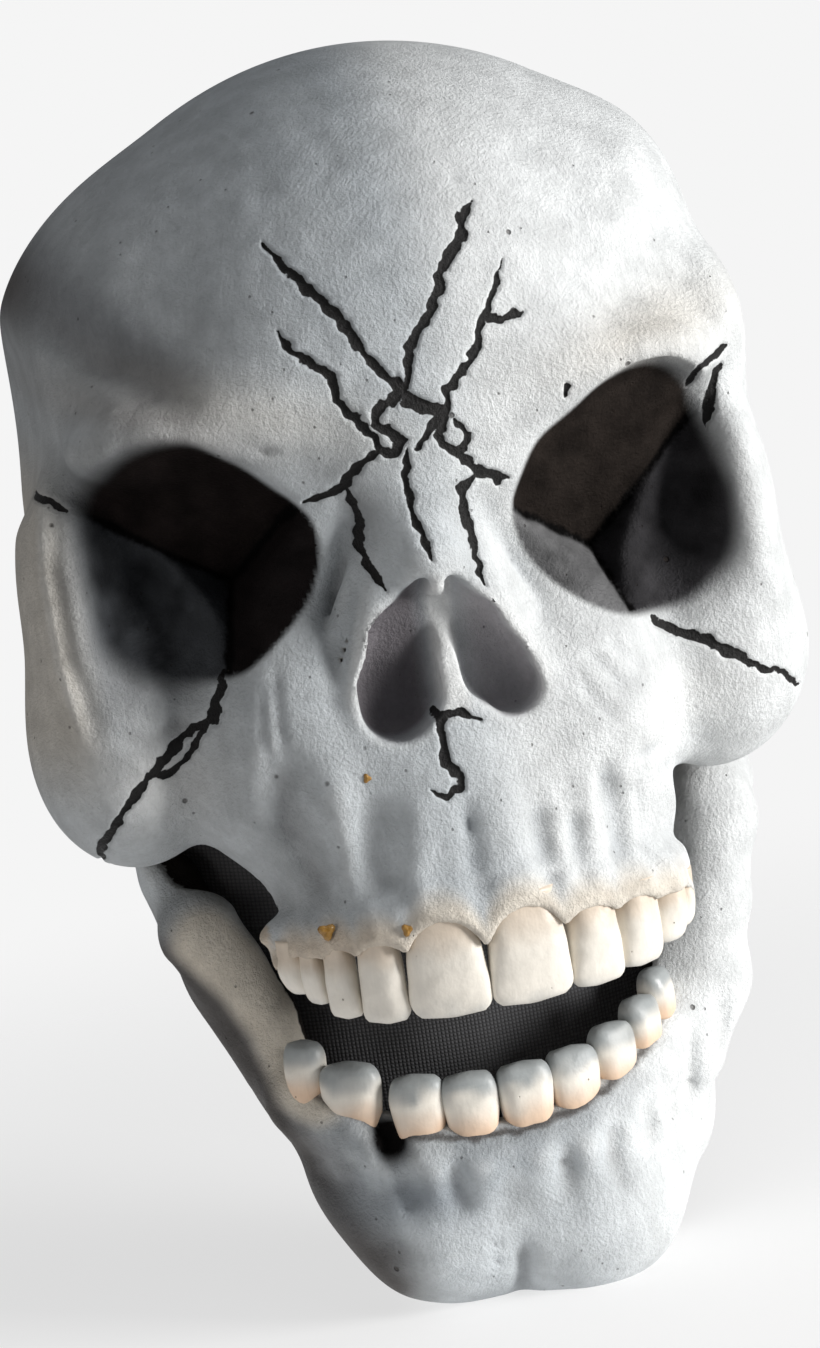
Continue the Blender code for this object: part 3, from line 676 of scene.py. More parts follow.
def skull_relief(clay):
    """Brow hollows, the furrows over the tooth roots, wrinkles and knocks, as strokes."""
    relief = Relief(clay)
    stroke, dent = relief.stroke, relief.dent
    # forehead: the crease between the dome and each temple, and shallow knocks
    stroke([(-95, 93), (-87, 77), (-77, 66), (-64, 57), (-48, 47)], 6.5, 2.8, 0.35)
    stroke([(-97, 70), (-86, 58), (-72, 50)], 9.0, -1.6)
    stroke([(88, 96), (80, 76), (68, 60), (50, 50)], 8.0, 2.0, 0.35)
    stroke([(90, 52), (76, 49), (60, 46)], 6.0, -1.8)
    dent((-51, 67), (9, 6), 0.5, 20.0)
    dent((-38, 37), (3.4, 1.3), 1.2, -15.0)
    dent((0, 60), (12, 16), 1.0)
    knocks = ((-14, 109, 5), (-30, 104, 4), (40, 104, 4), (22, 100, 3), (-60, 92, 5), (56, 86, 4))
    for x, z, size in knocks:
        dent((x, z), (size, size * 0.7), 0.5)
    # nose bridge sides
    stroke([(-19, 22), (-20, 4), (-25, -14), (-30, -36)], 4.5, 3.2)
    stroke([(20, 20), (21, 2), (27, -14), (33, -34)], 5.0, 1.4)
    # lips of the nose opening
    stroke([(-6, -2), (-18, -16), (-25, -32), (-23, -44)], 2.6, -1.2)
    stroke([(8, -3), (18, -16), (27, -32), (28, -44)], 2.6, -1.2)
    # upper jaw: the hollows between the ridges of the tooth roots
    stroke([(-44, -42), (-46, -58), (-44, -74), (-45, -90)], 6.5, 4.4)
    stroke([(-32, -50), (-33, -70), (-37, -92)], 4.5, -1.6)
    stroke([(-23, -58), (-24, -74), (-23, -90)], 5.0, 1.6)
    stroke([(-10, -58), (-14, -76), (-17, -92)], 5.0, -1.2)
    stroke([(1, -62), (1, -74), (0, -94)], 3.4, 2.0)
    stroke([(10, -56), (11, -76), (12, -92)], 5.0, -0.9)
    stroke([(20, -68), (20, -80), (20.5, -94)], 3.4, 2.3)
    stroke([(25, -62), (25, -78), (26, -94)], 3.0, -0.6)
    stroke([(29.5, -72), (29, -84), (29, -95)], 3.0, 1.9)
    stroke([(35, -60), (35, -78), (35, -94)], 3.4, -0.9)
    stroke([(41, -60), (41, -76), (40, -94)], 3.8, 3.0)
    stroke([(48.5, -68), (48, -80), (47.5, -92)], 3.0, 1.2)
    dent((0.7, -71), (1.3, 2.6), 1.2)
    # wrinkles beside the nose and knocks on the cheeks
    stroke([(-44, -22), (-45, -34), (-45, -46)], 1.2, 0.9)
    stroke([(-48, -26), (-50, -38), (-49, -50)], 1.0, 0.6)
    stroke([(40, -30), (46, -38), (50, -44)], 1.6, 0.9)
    stroke([(46, -28), (53, -36), (58, -40)], 1.6, 0.8)
    stroke([(36, -36), (42, -46), (47, -52)], 1.8, 0.8)
    dent((55, -62), (5, 2.2), 1.6, 8.0)
    dent((60, -69), (5, 3), 1.2, 8.0)
    # folds of the skin outside the left eye
    stroke([(-92, 36), (-97, 12), (-97, -12), (-92, -36)], 2.2, 1.2)
    stroke([(-96, 40), (-101, 14), (-101, -14), (-96, -40)], 2.0, -0.9)
    stroke([(-90, -34), (-80, -38), (-66, -34)], 3.0, 1.4)
    # gum: a proud scalloped lip over every tooth
    relief.depth += -0.9 * np.exp(-(((relief.z - gum_line(relief.x) - 2.2) / 2.6) ** 2))
    # hammered unevenness everywhere
    relief.depth += 0.22 * waves(relief.x, relief.z, 9.0, 3) + 0.13 * waves(relief.x, relief.z, 4.0, 4)
    return relief.depth


def gum_line(x):
    """Height of the upper gum's edge: an arch over each tooth and a point between two."""
    x = np.asarray(x, float)
    wide = 0.75 * UPPER_TEETH["central"][1]
    line = np.full(x.shape, -110.0)
    for centre, width, gum, _ in UPPER_TEETH.values():
        for side in SIDES.values():
            u = (x - side * centre) / (width / 2.0)
            arch = gum + 0.6 - (9.0 if width > wide else 3.4) * np.abs(u) ** 2.4
            line = np.where(np.abs(u) <= 1.0, np.maximum(line, arch), line)
    return np.where(np.abs(x) > 60.5, -100.0, np.maximum(line, -107.5))


def upper_gum_ridge():
    """The rods of the upper gum, one after the other along the tooth row."""
    spots = []
    for height in (-91.5, -98.5):
        row = []
        for x in np.linspace(-56.0, 56.0, 17):
            depth, _ = arch_place(UPPER_ARCH, x)
            row.append((x, depth + 0.8, height - 6.5 * fade(abs(x), 12.0, 46.0)))
        spots += zip(row, row[1:])
    return spots


def skull_lean(points):
    """The soft mask's own skew: the dome and the ends of the tooth row lean to the right."""
    x, y, z = points.T
    moved = points.copy()
    moved[:, 0] += 9.0 * fade(z, 76.0, 132.0) + 1.0 * fade(z, -70.0, -10.0)
    moved[:, 0] += 4.0 * fade(x, 50.0, 100.0) * np.exp(-(((z + 52.0) / 26.0) ** 2))
    row = np.minimum(1.0, np.abs(x) / 54.0) ** 3 * fade(np.abs(x), 66.0, 58.0) * fade(y, 82.0, 64.0)
    moved[:, 0] += (5.0 + 2.0 * fade(x, 0.0, -30.0)) * row * fade(z, -60.0, -84.0)
    return moved


def jaw_lean(points):
    """The chin hangs a little lower on the right."""
    moved = points.copy()
    moved[:, 2] -= 4.0 * fade(points[:, 2], -170.0, -206.0) * fade(points[:, 0], -30.0, 20.0)
    return moved


def below_gum(x, y, z):
    """Distance below the scalloped gum edge, positive in the clay that stays."""
    return z - gum_line(x[:, 0, 0])[:, None, None] + 0.0 * y


def sculpt_skull():
    clay = Clay((-114.0, -8.0, -112.0), (114.0, 153.0, 144.0), CLAY_STEP)
    relief = skull_relief(clay)
    skull_masses(clay)
    skull_hollows(clay)
    clay.press(relief)
    # the gum is solid; everything else becomes a wall
    gum = Clay.like(clay)
    for a, b in upper_gum_ridge():
        gum.add(rod(a, b, 5.6, 5.6), 3.0)
    gum.press(relief)
    outer = smooth_min(clay.value, gum.value, 5.0)
    clay.value = smooth_min(np.maximum(clay.value, -(clay.value + WALL)), gum.value, 5.0)
    for side in SIDES.values():
        clay.add(pin(side * BAND_BOSS_INNER, side * BAND_SEAT_X, *BAND_PIVOT, BAND_BOSS_RADIUS), 2.0)
    # room for the jaw, the rivets and the band
    clay.cut(upright_tube(112.0, 97.0, 82.0, THROAT_TOP), 0.0)
    clay.cut(box((-93.0, 58.0, -230.0), (93.0, 112.0, THROAT_TOP)), 0.0)
    for side in SIDES.values():
        clay.cut(pin(side * 60.0, side * SKULL_BOSS_INNER, *HINGE_PIVOT, BOSS_RADIUS + 4.0), 0.0)
        clay.cut(pin(side * 70.0, side * 120.0, *HINGE_PIVOT, RIVET_HOLE_RADIUS), 0.0)
        clay.cut(pin(side * 80.0, side * 120.0, *BAND_PIVOT, RIVET_HOLE_RADIUS), 0.0)
        clay.cut(pin(side * BAND_SEAT_X, side * 120.0, *BAND_PIVOT, BAND_SEAT_RADIUS), 0.0)
    x, y, z = clay.axes[0][:, None, None], clay.axes[1][None, :, None], clay.axes[2][None, None, :]
    clay.value = np.maximum(clay.value, -below_gum(x, y, z).astype(np.float32))
    clay.value = np.maximum(clay.value, (y - RIM_DEPTH).astype(np.float32))
    return clay, outer


# Jaw -----------------------------------------------------------------------------------------

# Outline of the jaw seen from the side: depth, height
JAW_OUTLINE = [
    (8, -166), (33, -166), (50, -150), (64, -126), (72, -100), (78, -84), (84, -78), (88, -64),
    (92, -42), (108, -42), (116, -60), (114, -112), (102, -142), (70, -188), (50, -230), (8, -230),
]


def left_bevel(x, z):
    """Distance outside the two planes that make the jaw's left side run slanting to the chin."""
    planes = []
    for px, pz, turn in ((-79.5, -102.0, 17.4), (-68.0, -153.0, 27.0)):
        turn = math.radians(turn)
        planes.append(-(x - px) * math.cos(turn) - (z - pz) * math.sin(turn))
    return -smooth_min(-planes[0], -planes[1], 6.0)


def jaw_masses(clay):
    # the whole jaw, the chin, the tooth row, the right flank, the right jowl and the chin's right
    clay.add(ellipsoid((0.0, 108.0, -72.0), (93.0, 78.0, 136.0)), 0.0)
    clay.add(ellipsoid((0.0, 54.0, -178.0), (56.0, 36.0, 32.0)), 14.0)
    clay.add(ellipsoid((0.0, 66.0, -150.0), (60.0, 48.0, 32.0)), 14.0)
    clay.add(ellipsoid((50.5, 86.0, -150.0), (25.0, 35.0, 32.0)), 10.0)
    clay.add(ellipsoid((48.0, 74.0, -174.0), (21.0, 30.0, 22.0)), 8.0)
    clay.add(ellipsoid((28.0, 54.0, -186.0), (26.0, 32.0, 26.0)), 8.0)
    for side in SIDES.values():
        clay.add(ellipsoid((side * 18.0, 42.0, -191.0), (24.0, 23.0, 20.0)), 12.0)
    x, z = clay.axes[0][:, None, None], clay.axes[2][None, None, :]
    clay.value = -smooth_min(-clay.value, -left_bevel(x, z).astype(np.float32), 8.0)
    for side in SIDES.values():
        ends = side * (JAW_BOSS_INNER - 1.0), side * (JAW_BOSS_OUTER + 1.0)
        clay.add(pin(*ends, *HINGE_PIVOT, JAW_BOSS_RADIUS), 4.0)


def jaw_relief(clay):
    relief = Relief(clay)
    stroke, dent = relief.stroke, relief.dent
    # chin: the cleft, the two bosses and the hollow above them
    stroke([(-1, -214), (0, -202), (0, -190)], 3.0, 2.6)
    dent((0, -180), (20, 8), 1.6)
    dent((-20, -196), (13, 9), -1.2)
    dent((24, -196), (15, 10), -1.2)
    # roots under the lower teeth and the furrows between them
    for tooth, (x, width, _, _) in LOWER_TEETH.items():
        for name, side in SIDES.items():
            if (tooth, name) == MISSING_TOOTH:
                continue
            foot = -184.0 + 0.30 * x
            stroke([(side * x, -165), (side * x * 0.98, foot)], width * 0.26, -1.2)
            edge = x + width / 2.0
            stroke([(side * edge, -163), (side * edge * 0.98, foot - 2.0)], 3.0, 1.5)
    stroke([(-31.5, -152), (-31.5, -161)], 3.8, 5.5, 0.0)
    # ridges that run up to the knobs behind the cheeks
    stroke([(-80, -112), (-68, -136), (-56, -160), (-40, -182)], 8.0, 2.4)
    stroke([(72, -140), (70, -164), (62, -182)], 3.0, 2.2)
    stroke([(60, -146), (58, -168)], 2.6, 1.4)
    pocks = ((-8, -190, 1.4), (-8, -195, 1.3), (30, -180, 2.0), (-30, -178, 1.2), (14, -172, 1.0))
    for x, z, size in pocks:
        dent((x, z), (size, size), 1.0)
    relief.depth += 0.25 * waves(relief.x, relief.z, 9.0, 13) + 0.1 * waves(relief.x, relief.z, 4.0, 14)
    return relief.depth


# Solid rods of the jaw as (x, depth, height, radius): the left knob's ridge, the right one's, and the
# backings of their walls
JAW_RODS = (
    [(-71.5, 70, -101, 12.0), (-65, 69, -114, 9.0), (-58, 68, -128, 8.0), (-52, 55, -148, 8.0)],
    [(80, 84, -74, 11.0), (80, 75, -95, 12.0), (75, 71, -117, 11.0), (66, 68, -136, 10.0),
     (54, 56, -151, 9.0)],
    [(74, 78, -120, 10.0), (72, 68, -140, 10.0), (62, 58, -158, 10.0)],
    [(-76, 88, -88, 8.0), (-66, 82, -118, 8.0), (-56, 70, -142, 8.0)],
    [(86, 92, -87, 12.0), (76.5, 87, -110, 11.5), (68.5, 82, -136, 12.0)],
)


def jaw_ridges(clay):
    """The solid ridges: the gum under the lower teeth and the two branches behind the cheeks."""
    spots = []
    for x in np.linspace(-52.0, 52.0, 17):
        depth, _ = arch_place(LOWER_ARCH, x)
        spots.append((x, depth + 0.6, lower_gum_height(x) - 4.8))
    for a, b in zip(spots, spots[1:]):
        clay.add(rod(a, b, 8.0, 8.0), 3.0)
    for path in JAW_RODS:
        for a, b in zip(path, path[1:]):
            clay.add(rod(a[:3], b[:3], a[3], b[3]), 9.0)


def lower_gum_height(x):
    """Height of the lower gum at the tooth row."""
    return -162.0 + 17.0 * (abs(x) / 52.0) ** 2.2


def sculpt_jaw():
    clay = Clay((-104.0, 6.0, -224.0), (104.0, 120.0, -36.0), CLAY_STEP)
    relief = jaw_relief(clay)
    jaw_masses(clay)
    clay.press(relief)
    ridges = Clay.like(clay)
    jaw_ridges(ridges)
    ridges.press(relief)
    side = Clay.like(clay)
    side.add(side_profile(JAW_OUTLINE, -130.0, 130.0), 0.0)
    solid = -smooth_min(-side.value, -clay.value, 3.0)
    outer = smooth_min(solid, ridges.value, 7.0)
    clay.value = np.maximum(solid, -(clay.value + WALL))
    clay.value = smooth_min(clay.value, ridges.value, 7.0)
    for side in SIDES.values():
        clay.cut(pin(side * JAW_BOSS_OUTER, side * 120.0, *HINGE_PIVOT, 22.0), 0.0)
        clay.cut(pin(side * 60.0, side * JAW_BOSS_INNER, *HINGE_PIVOT, RIVET_SEAT_RADIUS), 0.0)
        clay.cut(pin(side * 70.0, side * 120.0, *HINGE_PIVOT, RIVET_HOLE_RADIUS), 0.0)
    return clay, outer


# Meshes --------------------------------------------------------------------------------------


def put(name, data):
    """A new object in the scene."""
    obj = bpy.data.objects.new(name, data)
    bpy.context.scene.collection.objects.link(obj)
    return obj


def new_piece(name, points, faces, material, colours=None, numbers=None):
    """A smooth mesh object from points in mask millimetres, with per-point paint and numbers."""
    mesh = bpy.data.meshes.new(name)
    mesh.vertices.add(len(points))
    mesh.vertices.foreach_set("co", place(points).astype(np.float32).ravel())
    sizes = np.array([len(face) for face in faces], np.int32)
    mesh.loops.add(int(sizes.sum()))
    corners = faces.ravel() if isinstance(faces, np.ndarray) else np.concatenate(faces)
    mesh.loops.foreach_set("vertex_index", corners.astype(np.int32))
    mesh.polygons.add(len(faces))
    starts = np.concatenate(([0], np.cumsum(sizes)[:-1])).astype(np.int32)
    mesh.polygons.foreach_set("loop_start", starts)
    mesh.update(calc_edges=True)
    mesh.shade_smooth()
    if colours is not None:
        paint = mesh.attributes.new("paint", "FLOAT_COLOR", "POINT")
        paint.data.foreach_set("color", np.c_[colours, np.ones(len(colours))].astype(np.float32).ravel())
    for key, values in (numbers or {}).items():
        layer = mesh.attributes.new(key, "FLOAT", "POINT")
        layer.data.foreach_set("value", values.astype(np.float32))
    mesh.materials.append(material)
    return put(name, mesh)


def carry(piece, node, body):
    """Shows the piece instead of a CAD node, on a body."""
    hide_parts(node)
    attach(piece, body)


def tube_faces(rings, count, inward=False, capped=True):
    """Faces between successive rings of count points, and over both end rings."""
    faces = []
    for ring in range(rings - 1):
        for spot in range(count):
            a = ring * count + spot
            b = ring * count + (spot + 1) % count
            faces.append((a, b, b + count, a + count))
    if capped:
        faces.append(tuple(range(count))[::-1])
        faces.append(tuple((rings - 1) * count + spot for spot in range(count)))
    return [face[::-1] for face in faces] if inward else faces


def colour(red, green, blue):
    """A screen colour, 0 to 255, as linear light."""
    part = np.array((red, green, blue)) / 255.0
    return np.where(part <= 0.04045, part / 12.92, ((part + 0.055) / 1.055) ** 2.4)


# Paint ---------------------------------------------------------------------------------------

BASE = colour(206, 211, 214)
WHITE = colour(240, 241, 240)
COOL = colour(120, 128, 136)
# dark grey and dark brown for painted shade
SHADE_GREY = colour(92, 95, 100)
SHADE_BROWN = colour(62, 54, 49)
BROWN = colour(104, 84, 66)
CREAM = colour(226, 216, 200)
BLACK = colour(14, 12, 12)


def mixed(paint, *layers):
    """The paint under some more layers, each of a colour and its amount at every point, 0 to 1."""
    for other, amount in layers:
        paint = paint + (other - paint) * np.clip(amount, 0.0, 1.0)[:, None]
    return paint


def crack_depth(points):
    """Millimetres inside the nearest painted crack; negative outside."""
    x, z = points[:, 0], points[:, 2]
    jitter_x = 0.8 * waves(x, z, 2.3, 21)
    jitter_z = 0.8 * waves(x, z, 2.1, 22)
    best = np.full(len(points), -CRACK_REACH)
    for path, start, end in CRACKS:
        path = np.array(path, float)
        low, high = path.min(0) - CRACK_REACH, path.max(0) + CRACK_REACH
        near = (x > low[0]) & (x < high[0]) & (z > low[1]) & (z < high[1]) & (points[:, 1] < 90.0)
        if not near.any():
            continue
        gap, along = path_distance(x[near] + jitter_x[near], z[near] + jitter_z[near], path)
        taper = np.minimum(1.0, np.minimum(along * 6.0, (1.0 - along) * 6.0) + 0.35)
        half = (0.35 + start + (end - start) * along) * taper
        half = half * (1.0 + 0.3 * waves(x[near], z[near], 2.2, 23))
        best[near] = np.maximum(best[near], half - gap)
    return best


# The eye cups' three facets, in the order of SOCKET_ARMS: the black paint lit or shaded differently on
# each, as painted light and shade; the creases between them are painted darker as shade in eye_painted
FACET_LIGHT_AND_SHADE = {
    -1.0: [colour(58, 60, 63), colour(26, 22, 22), colour(28, 23, 22)],
    1.0: [colour(100, 100, 101), colour(54, 53, 55), colour(37, 32, 29)],
}


def eye_painted(paint, points, side):
    """Blackens the eye cup and the skin round it: sharply at the nose, airbrushed at the temple."""
    x, z = points[:, 0], points[:, 2]
    inside = -socket_rim(side)(x, z)
    lateral = fade(x * side - SOCKET_X, -10.0, 26.0)
    soft = 1.0 + lateral * (8.0 if side < 0 else 4.0)
    black = fade(inside, -0.5 * soft, 1.2 * soft)
    halo = 0.4 * lateral * fade(inside, -8.0, 3.0)
    amount = np.maximum(black, halo) * (points[:, 1] < 74.0) * (x * side > 5.0)
    apex = np.array(SOCKET_ARMS[side]["apex"])
    arms = [np.array(end, float) for end in SOCKET_ARMS[side]["arms"]]
    bearing = np.arctan2(z - apex[2], x - apex[0])
    ends = [math.atan2(end[2] - apex[2], end[0] - apex[0]) for end in arms]
    # painted light and shade: each facet gets its own lit or shaded grey
    tint = np.tile(BLACK, (len(points), 1))
    for number, facet in enumerate(FACET_LIGHT_AND_SHADE[side]):
        start, end = ends[number], ends[(number + 1) % 3]
        sweep = (end - start) % (2.0 * math.pi)
        turn = (bearing - start) % (2.0 * math.pi)
        if sweep > math.pi:
            sweep, turn = 2.0 * math.pi - sweep, (start - bearing) % (2.0 * math.pi)
        tint[turn <= sweep] = facet
    smear = 1.0 + 0.35 * waves(x, z, 6.0, 61) + 0.2 * waves(x, z, 2.5, 62)
    tint = tint * smear[:, None]
    # the creases between the facets painted darker as shade
    crease = np.full(len(points), 99.0)
    for end in arms:
        gap, _ = path_distance(x, z, [(apex[0], apex[2]), (end[0], end[2])])
        crease = np.minimum(crease, gap)
    tint = mixed(tint, (BLACK * 0.4, fade(crease + 0.5 * waves(x, z, 3.0, 63), 1.6, 0.5)))
    return paint + (tint - paint) * amount[:, None]


def hollows_and_ridges(clay, outer, points):
    """For each point: is it on the outside, and how far, 0 to 1, in a hollow and on a ridge."""
    fine = clay.samples(outer, points)
    shape = Clay.like(clay)
    shape.value = outer
    wide = clay.samples(shape.blurred(6.0), points) - fine
    tight = clay.samples(shape.blurred(2.4), points) - fine
    hollow = np.clip(-wide * 0.32 - tight * 0.5, 0.0, 1.0)
    ridge = np.clip(wide * 0.35 + tight * 0.6 - 0.25, 0.0, 1.0)
    return np.abs(fine) < PAINT_SKIN, hollow, ridge


def paint_skull(clay, outer, still, points):
    """Colours and crack distances; still are the points before they lean."""
    is_outside, hollow, ridge = hollows_and_ridges(clay, outer, still)
    x0, z0 = still[:, 0], still[:, 2]
    x, z = points[:, 0], points[:, 2]
    cloud = waves(x, z, 16.0, 31) * 0.5 + waves(x, z, 7.0, 32) * 0.3
    crease, _ = path_distance(x, z, [(-104, 112), (-92, 88), (-80, 70), (-62, 56)])
    low = fade(z, -20.0, -60.0) * fade(np.abs(x), 68.0, 56.0) * (points[:, 1] < 75)
    gum = fade(np.abs(z0 - gum_line(x0) - 2.0), 9.0, 1.0) * low
    paint = mixed(
        np.tile(BASE, (len(points), 1)),
        (COOL, 0.14 + 0.16 * cloud),
        # forehead, temples and cheeks; painted shade in the crease between the dome and the left temple
        (SHADE_GREY, 0.66 * fade(crease, 23.0, 3.0) * fade(x + z, -32.0, 4.0)),
        (CREAM, 0.3 * spot(x, z, (-40, 48), (36, 9), -20)),
        # painted shade over the top and left of the dome and at its far left edge
        (COOL, 0.26 * fade(z, 40.0, 80.0) * fade(x, 60.0, 0.0)),
        (SHADE_BROWN, 0.8 * spot(x, z, (-97, 90), (9, 14))),
        # painted light down the left side of the face and on both cheeks
        (CREAM, 0.6 * fade(x, -86.0, -100.0) * fade(z, 50.0, 20.0) * fade(z, -60.0, -30.0)),
        (WHITE, 0.7 * spot(x, z, (-78, -50), (15, 12))),
        (WHITE, 0.8 * spot(x, z, (70, -50), (16, 10))),
        # painted shade: browner towards the left, darker beside the nose bridge, on the left cheek, in the
        # upper jaw's left hollow and in the hollow on the right cheek
        (BROWN, 0.12 * fade(x, -10.0, -80.0)),
        (SHADE_BROWN, 0.45 * spot(x, z, (-14, 18), (4.5, 11), 14)),
        (SHADE_BROWN, 0.3 * spot(x, z, (-84, -26), (12, 15), 20)),
        (SHADE_BROWN, 0.28 * spot(x, z, (-46, -70), (6.5, 20), 4)),
        (COOL, 0.6 * spot(x, z, (52, -42), (8, 7))),
        # painted light: the right half lighter
        (WHITE, 0.6 * fade(x, 0.0, 26.0)),
        (BROWN, 0.35 * spot(x, z, (-66, 48), (30, 6), -24)),
        (CREAM, 0.5 * spot(x, z, (72, 52), (26, 9), 10)),
        # hollows painted darker as shade, ridges lighter as painted highlight, and the gum
        (COOL, hollow * 0.5),
        (BROWN, hollow * 0.35 * fade(x, 10.0, -50.0)),
        (WHITE, ridge * 0.7),
        (CREAM, 0.85 * gum),
        (TAN, 0.45 * gum * fade(x, -10.0, -40.0)),
        (BROWN, 0.2 * gum * fade(waves(x, z, 3.0, 33), 0.1, 0.6)),
    )
    for side in SIDES.values():
        paint = eye_painted(paint, still, side)
    # the bar in the middle of the nose opening, then the wells beside it
    bar = fade(np.abs(x0 - 2.6), 5.0, 2.0) * fade(z0, 0.0, -6.0) * fade(z0, -44.0, -38.0)
    paint = mixed(paint, (WHITE, 0.8 * bar))
    # each nose well painted its own grey, the left darker than the right, as painted light and shade
    for path, shade in zip(NOSTRILS, (colour(112, 108, 112), colour(176, 173, 177))):
        within = fade(nostril_outline(path, x0, z0), 0.8, -0.8)
        flank = 0.1 + 0.9 * fade(x0 - 2.6, 1.5, 11.0) + 0.9 * fade(2.6 - x0, 1.5, 9.0)
        paint = mixed(paint, (shade, within * flank * fade(still[:, 1], 4.0, 12.0)))
    # the inside: the latex's cream, darkened as painted shade
    paint[~is_outside] = CREAM * 0.55
    crack = np.where(is_outside, crack_depth(points), -CRACK_REACH)
    return paint, {"crack": crack}


def paint_jaw(clay, outer, still, points):
    """As for the skull; the jaw has no cracks."""
    is_outside, hollow, ridge = hollows_and_ridges(clay, outer, still)
    x, z = points[:, 0], points[:, 2]
    cloud = waves(x, z, 14.0, 41) * 0.5 + waves(x, z, 6.0, 42) * 0.4
    under = fade(z, -186.0, -160.0) * fade(np.abs(x), 56.0, 44.0)
    edge, _ = path_distance(x, z, [(-84, -112), (-74, -134), (-66, -158), (-56, -182), (-44, -202)])
    ridge_gap, _ = path_distance(x, z, [(-71, -101), (-61, -114), (-54, -128), (-50, -144)])
    crest = lower_gum_height(x) + 1.4 + 0.8 * waves(x, z, 3.0, 44)
    paint = mixed(
        np.tile(BASE, (len(points), 1)),
        (COOL, 0.12 + 0.2 * cloud),
        (COOL, 0.4 * under * fade(cloud, -0.3, 0.5)),
        # painted shade in the hollows, browner below the lower teeth; painted highlight on the ridges and
        # painted light over the right side
        (BROWN, hollow * (0.3 + 0.3 * under)),
        (COOL, hollow * 0.4),
        (WHITE, ridge * 0.6),
        (WHITE, 0.6 * fade(x, 10.0, 55.0)),
        # painted shade along the left edge and painted highlight on its ridge, painted shade in the chin's
        # hollow, along the gum's line under the teeth and in the gap of the missing tooth
        (SHADE_BROWN, 0.9 * fade(edge + 2.0 * waves(x, z, 7.0, 43), 24.0, 8.0)),
        (CREAM, 0.85 * fade(ridge_gap, 12.0, 6.0) * fade(points[:, 1], 74.0, 62.0)),
        (COOL, 0.8 * spot(x, z, (-27, -176), (18, 9))),
        (SHADE_BROWN, 0.8 * fade(np.abs(z - crest), 1.6, 0.4) * fade(np.abs(x), 56.0, 50.0)),
        (BLACK, 1.8 * spot(x, z, (-31.5, -158.5), (5.0, 5.6))),
    )
    # the inside, seen through the mouth, painted dark as shade
    paint[~is_outside] = colour(40, 36, 34)
    return paint, {"crack": np.full(len(points), -CRACK_REACH)}


# Materials -----------------------------------------------------------------------------------


class Nodes:
    """Short calls for building a material's nodes."""

    def __init__(self, name):
        self.material = bpy.data.materials.new(name)
        self.material.use_nodes = True
        self.tree = self.material.node_tree
        self.shader = self.tree.nodes["Principled BSDF"]
        self.where = self.tree.nodes.new("ShaderNodeTexCoord").outputs["Object"]

    def new(self, kind, **settings):
        node = self.tree.nodes.new("ShaderNode" + kind)
        for key, value in settings.items():
            setattr(node, key, value)
        return node

    def link(self, value, socket):
        if isinstance(value, (int, float)):
            socket.default_value = value
        elif isinstance(value, (tuple, list, np.ndarray)):
            value = tuple(float(v) for v in value)
            socket.default_value = (*value, 1.0)[: len(socket.default_value)]
        else:
            self.tree.links.new(value, socket)

    def maths(self, operation, a, b=0.0, c=0.0):
        node = self.new("Math", operation=operation)
        for value, socket in zip((a, b, c), node.inputs):
            self.link(value, socket)
        return node.outputs[0]

    def ramp(self, value, start, end, low=0.0, high=1.0):
        node = self.new("MapRange", interpolation_type="SMOOTHSTEP")
        for item, socket in zip((value, start, end, low, high), node.inputs):
            self.link(item, socket)
        return node.outputs[0]

    def mix(self, amount, a, b, blend="MIX"):
        node = self.new("Mix", data_type="RGBA", blend_type=blend)
        self.link(amount, node.inputs[0])
        self.link(a, node.inputs[6])
        self.link(b, node.inputs[7])
        return node.outputs[2]

    def stretched(self, x, y, z):
        node = self.new("Mapping")
        self.link(self.where, node.inputs["Vector"])
        node.inputs["Scale"].default_value = (x, y, z)
        return node.outputs[0]

    def noise(self, size, detail=3.0, rough=0.55, vector=None):
        """Noise with bumps of about that size in millimetres."""
        node = self.new("TexNoise")
        self.link(vector or self.where, node.inputs["Vector"])
        node.inputs["Scale"].default_value = 1000.0 / size
        node.inputs["Detail"].default_value = detail
        node.inputs["Roughness"].default_value = rough
        return node.outputs["Fac"]

    def cells(self, size):
        node = self.new("TexVoronoi")
        self.link(self.where, node.inputs["Vector"])
        node.inputs["Scale"].default_value = 1000.0 / size
        return node

    def attribute(self, name):
        return self.new("Attribute", attribute_name=name)

    def bump(self, height, distance):
        """Bump whose heights run from 0 to 1 for distance millimetres."""
        node = self.new("Bump")
        node.inputs["Strength"].default_value = 1.0
        node.inputs["Distance"].default_value = distance * MM
        self.link(height, node.inputs["Height"])
        return node.outputs["Normal"]

    def finish(self, colour_out, roughness, normal, **values):
        self.link(colour_out, self.shader.inputs["Base Color"])
        self.link(roughness, self.shader.inputs["Roughness"])
        self.link(normal, self.shader.inputs["Normal"])
        for key, value in values.items():
            self.shader.inputs[key.replace("_", " ")].default_value = value
        return self.material


def pitted(nodes, size, share, radius):
    """1 in scattered small round pits; share of the cells have one."""
    cells = nodes.cells(size)
    chosen = nodes.new("SeparateColor")
    nodes.link(cells.outputs["Color"], chosen.inputs[0])
    present = nodes.ramp(chosen.outputs[0], share, share * 0.98)
    near = nodes.ramp(cells.outputs["Distance"], radius, radius * 0.45)
    return nodes.maths("MULTIPLY", present, near)


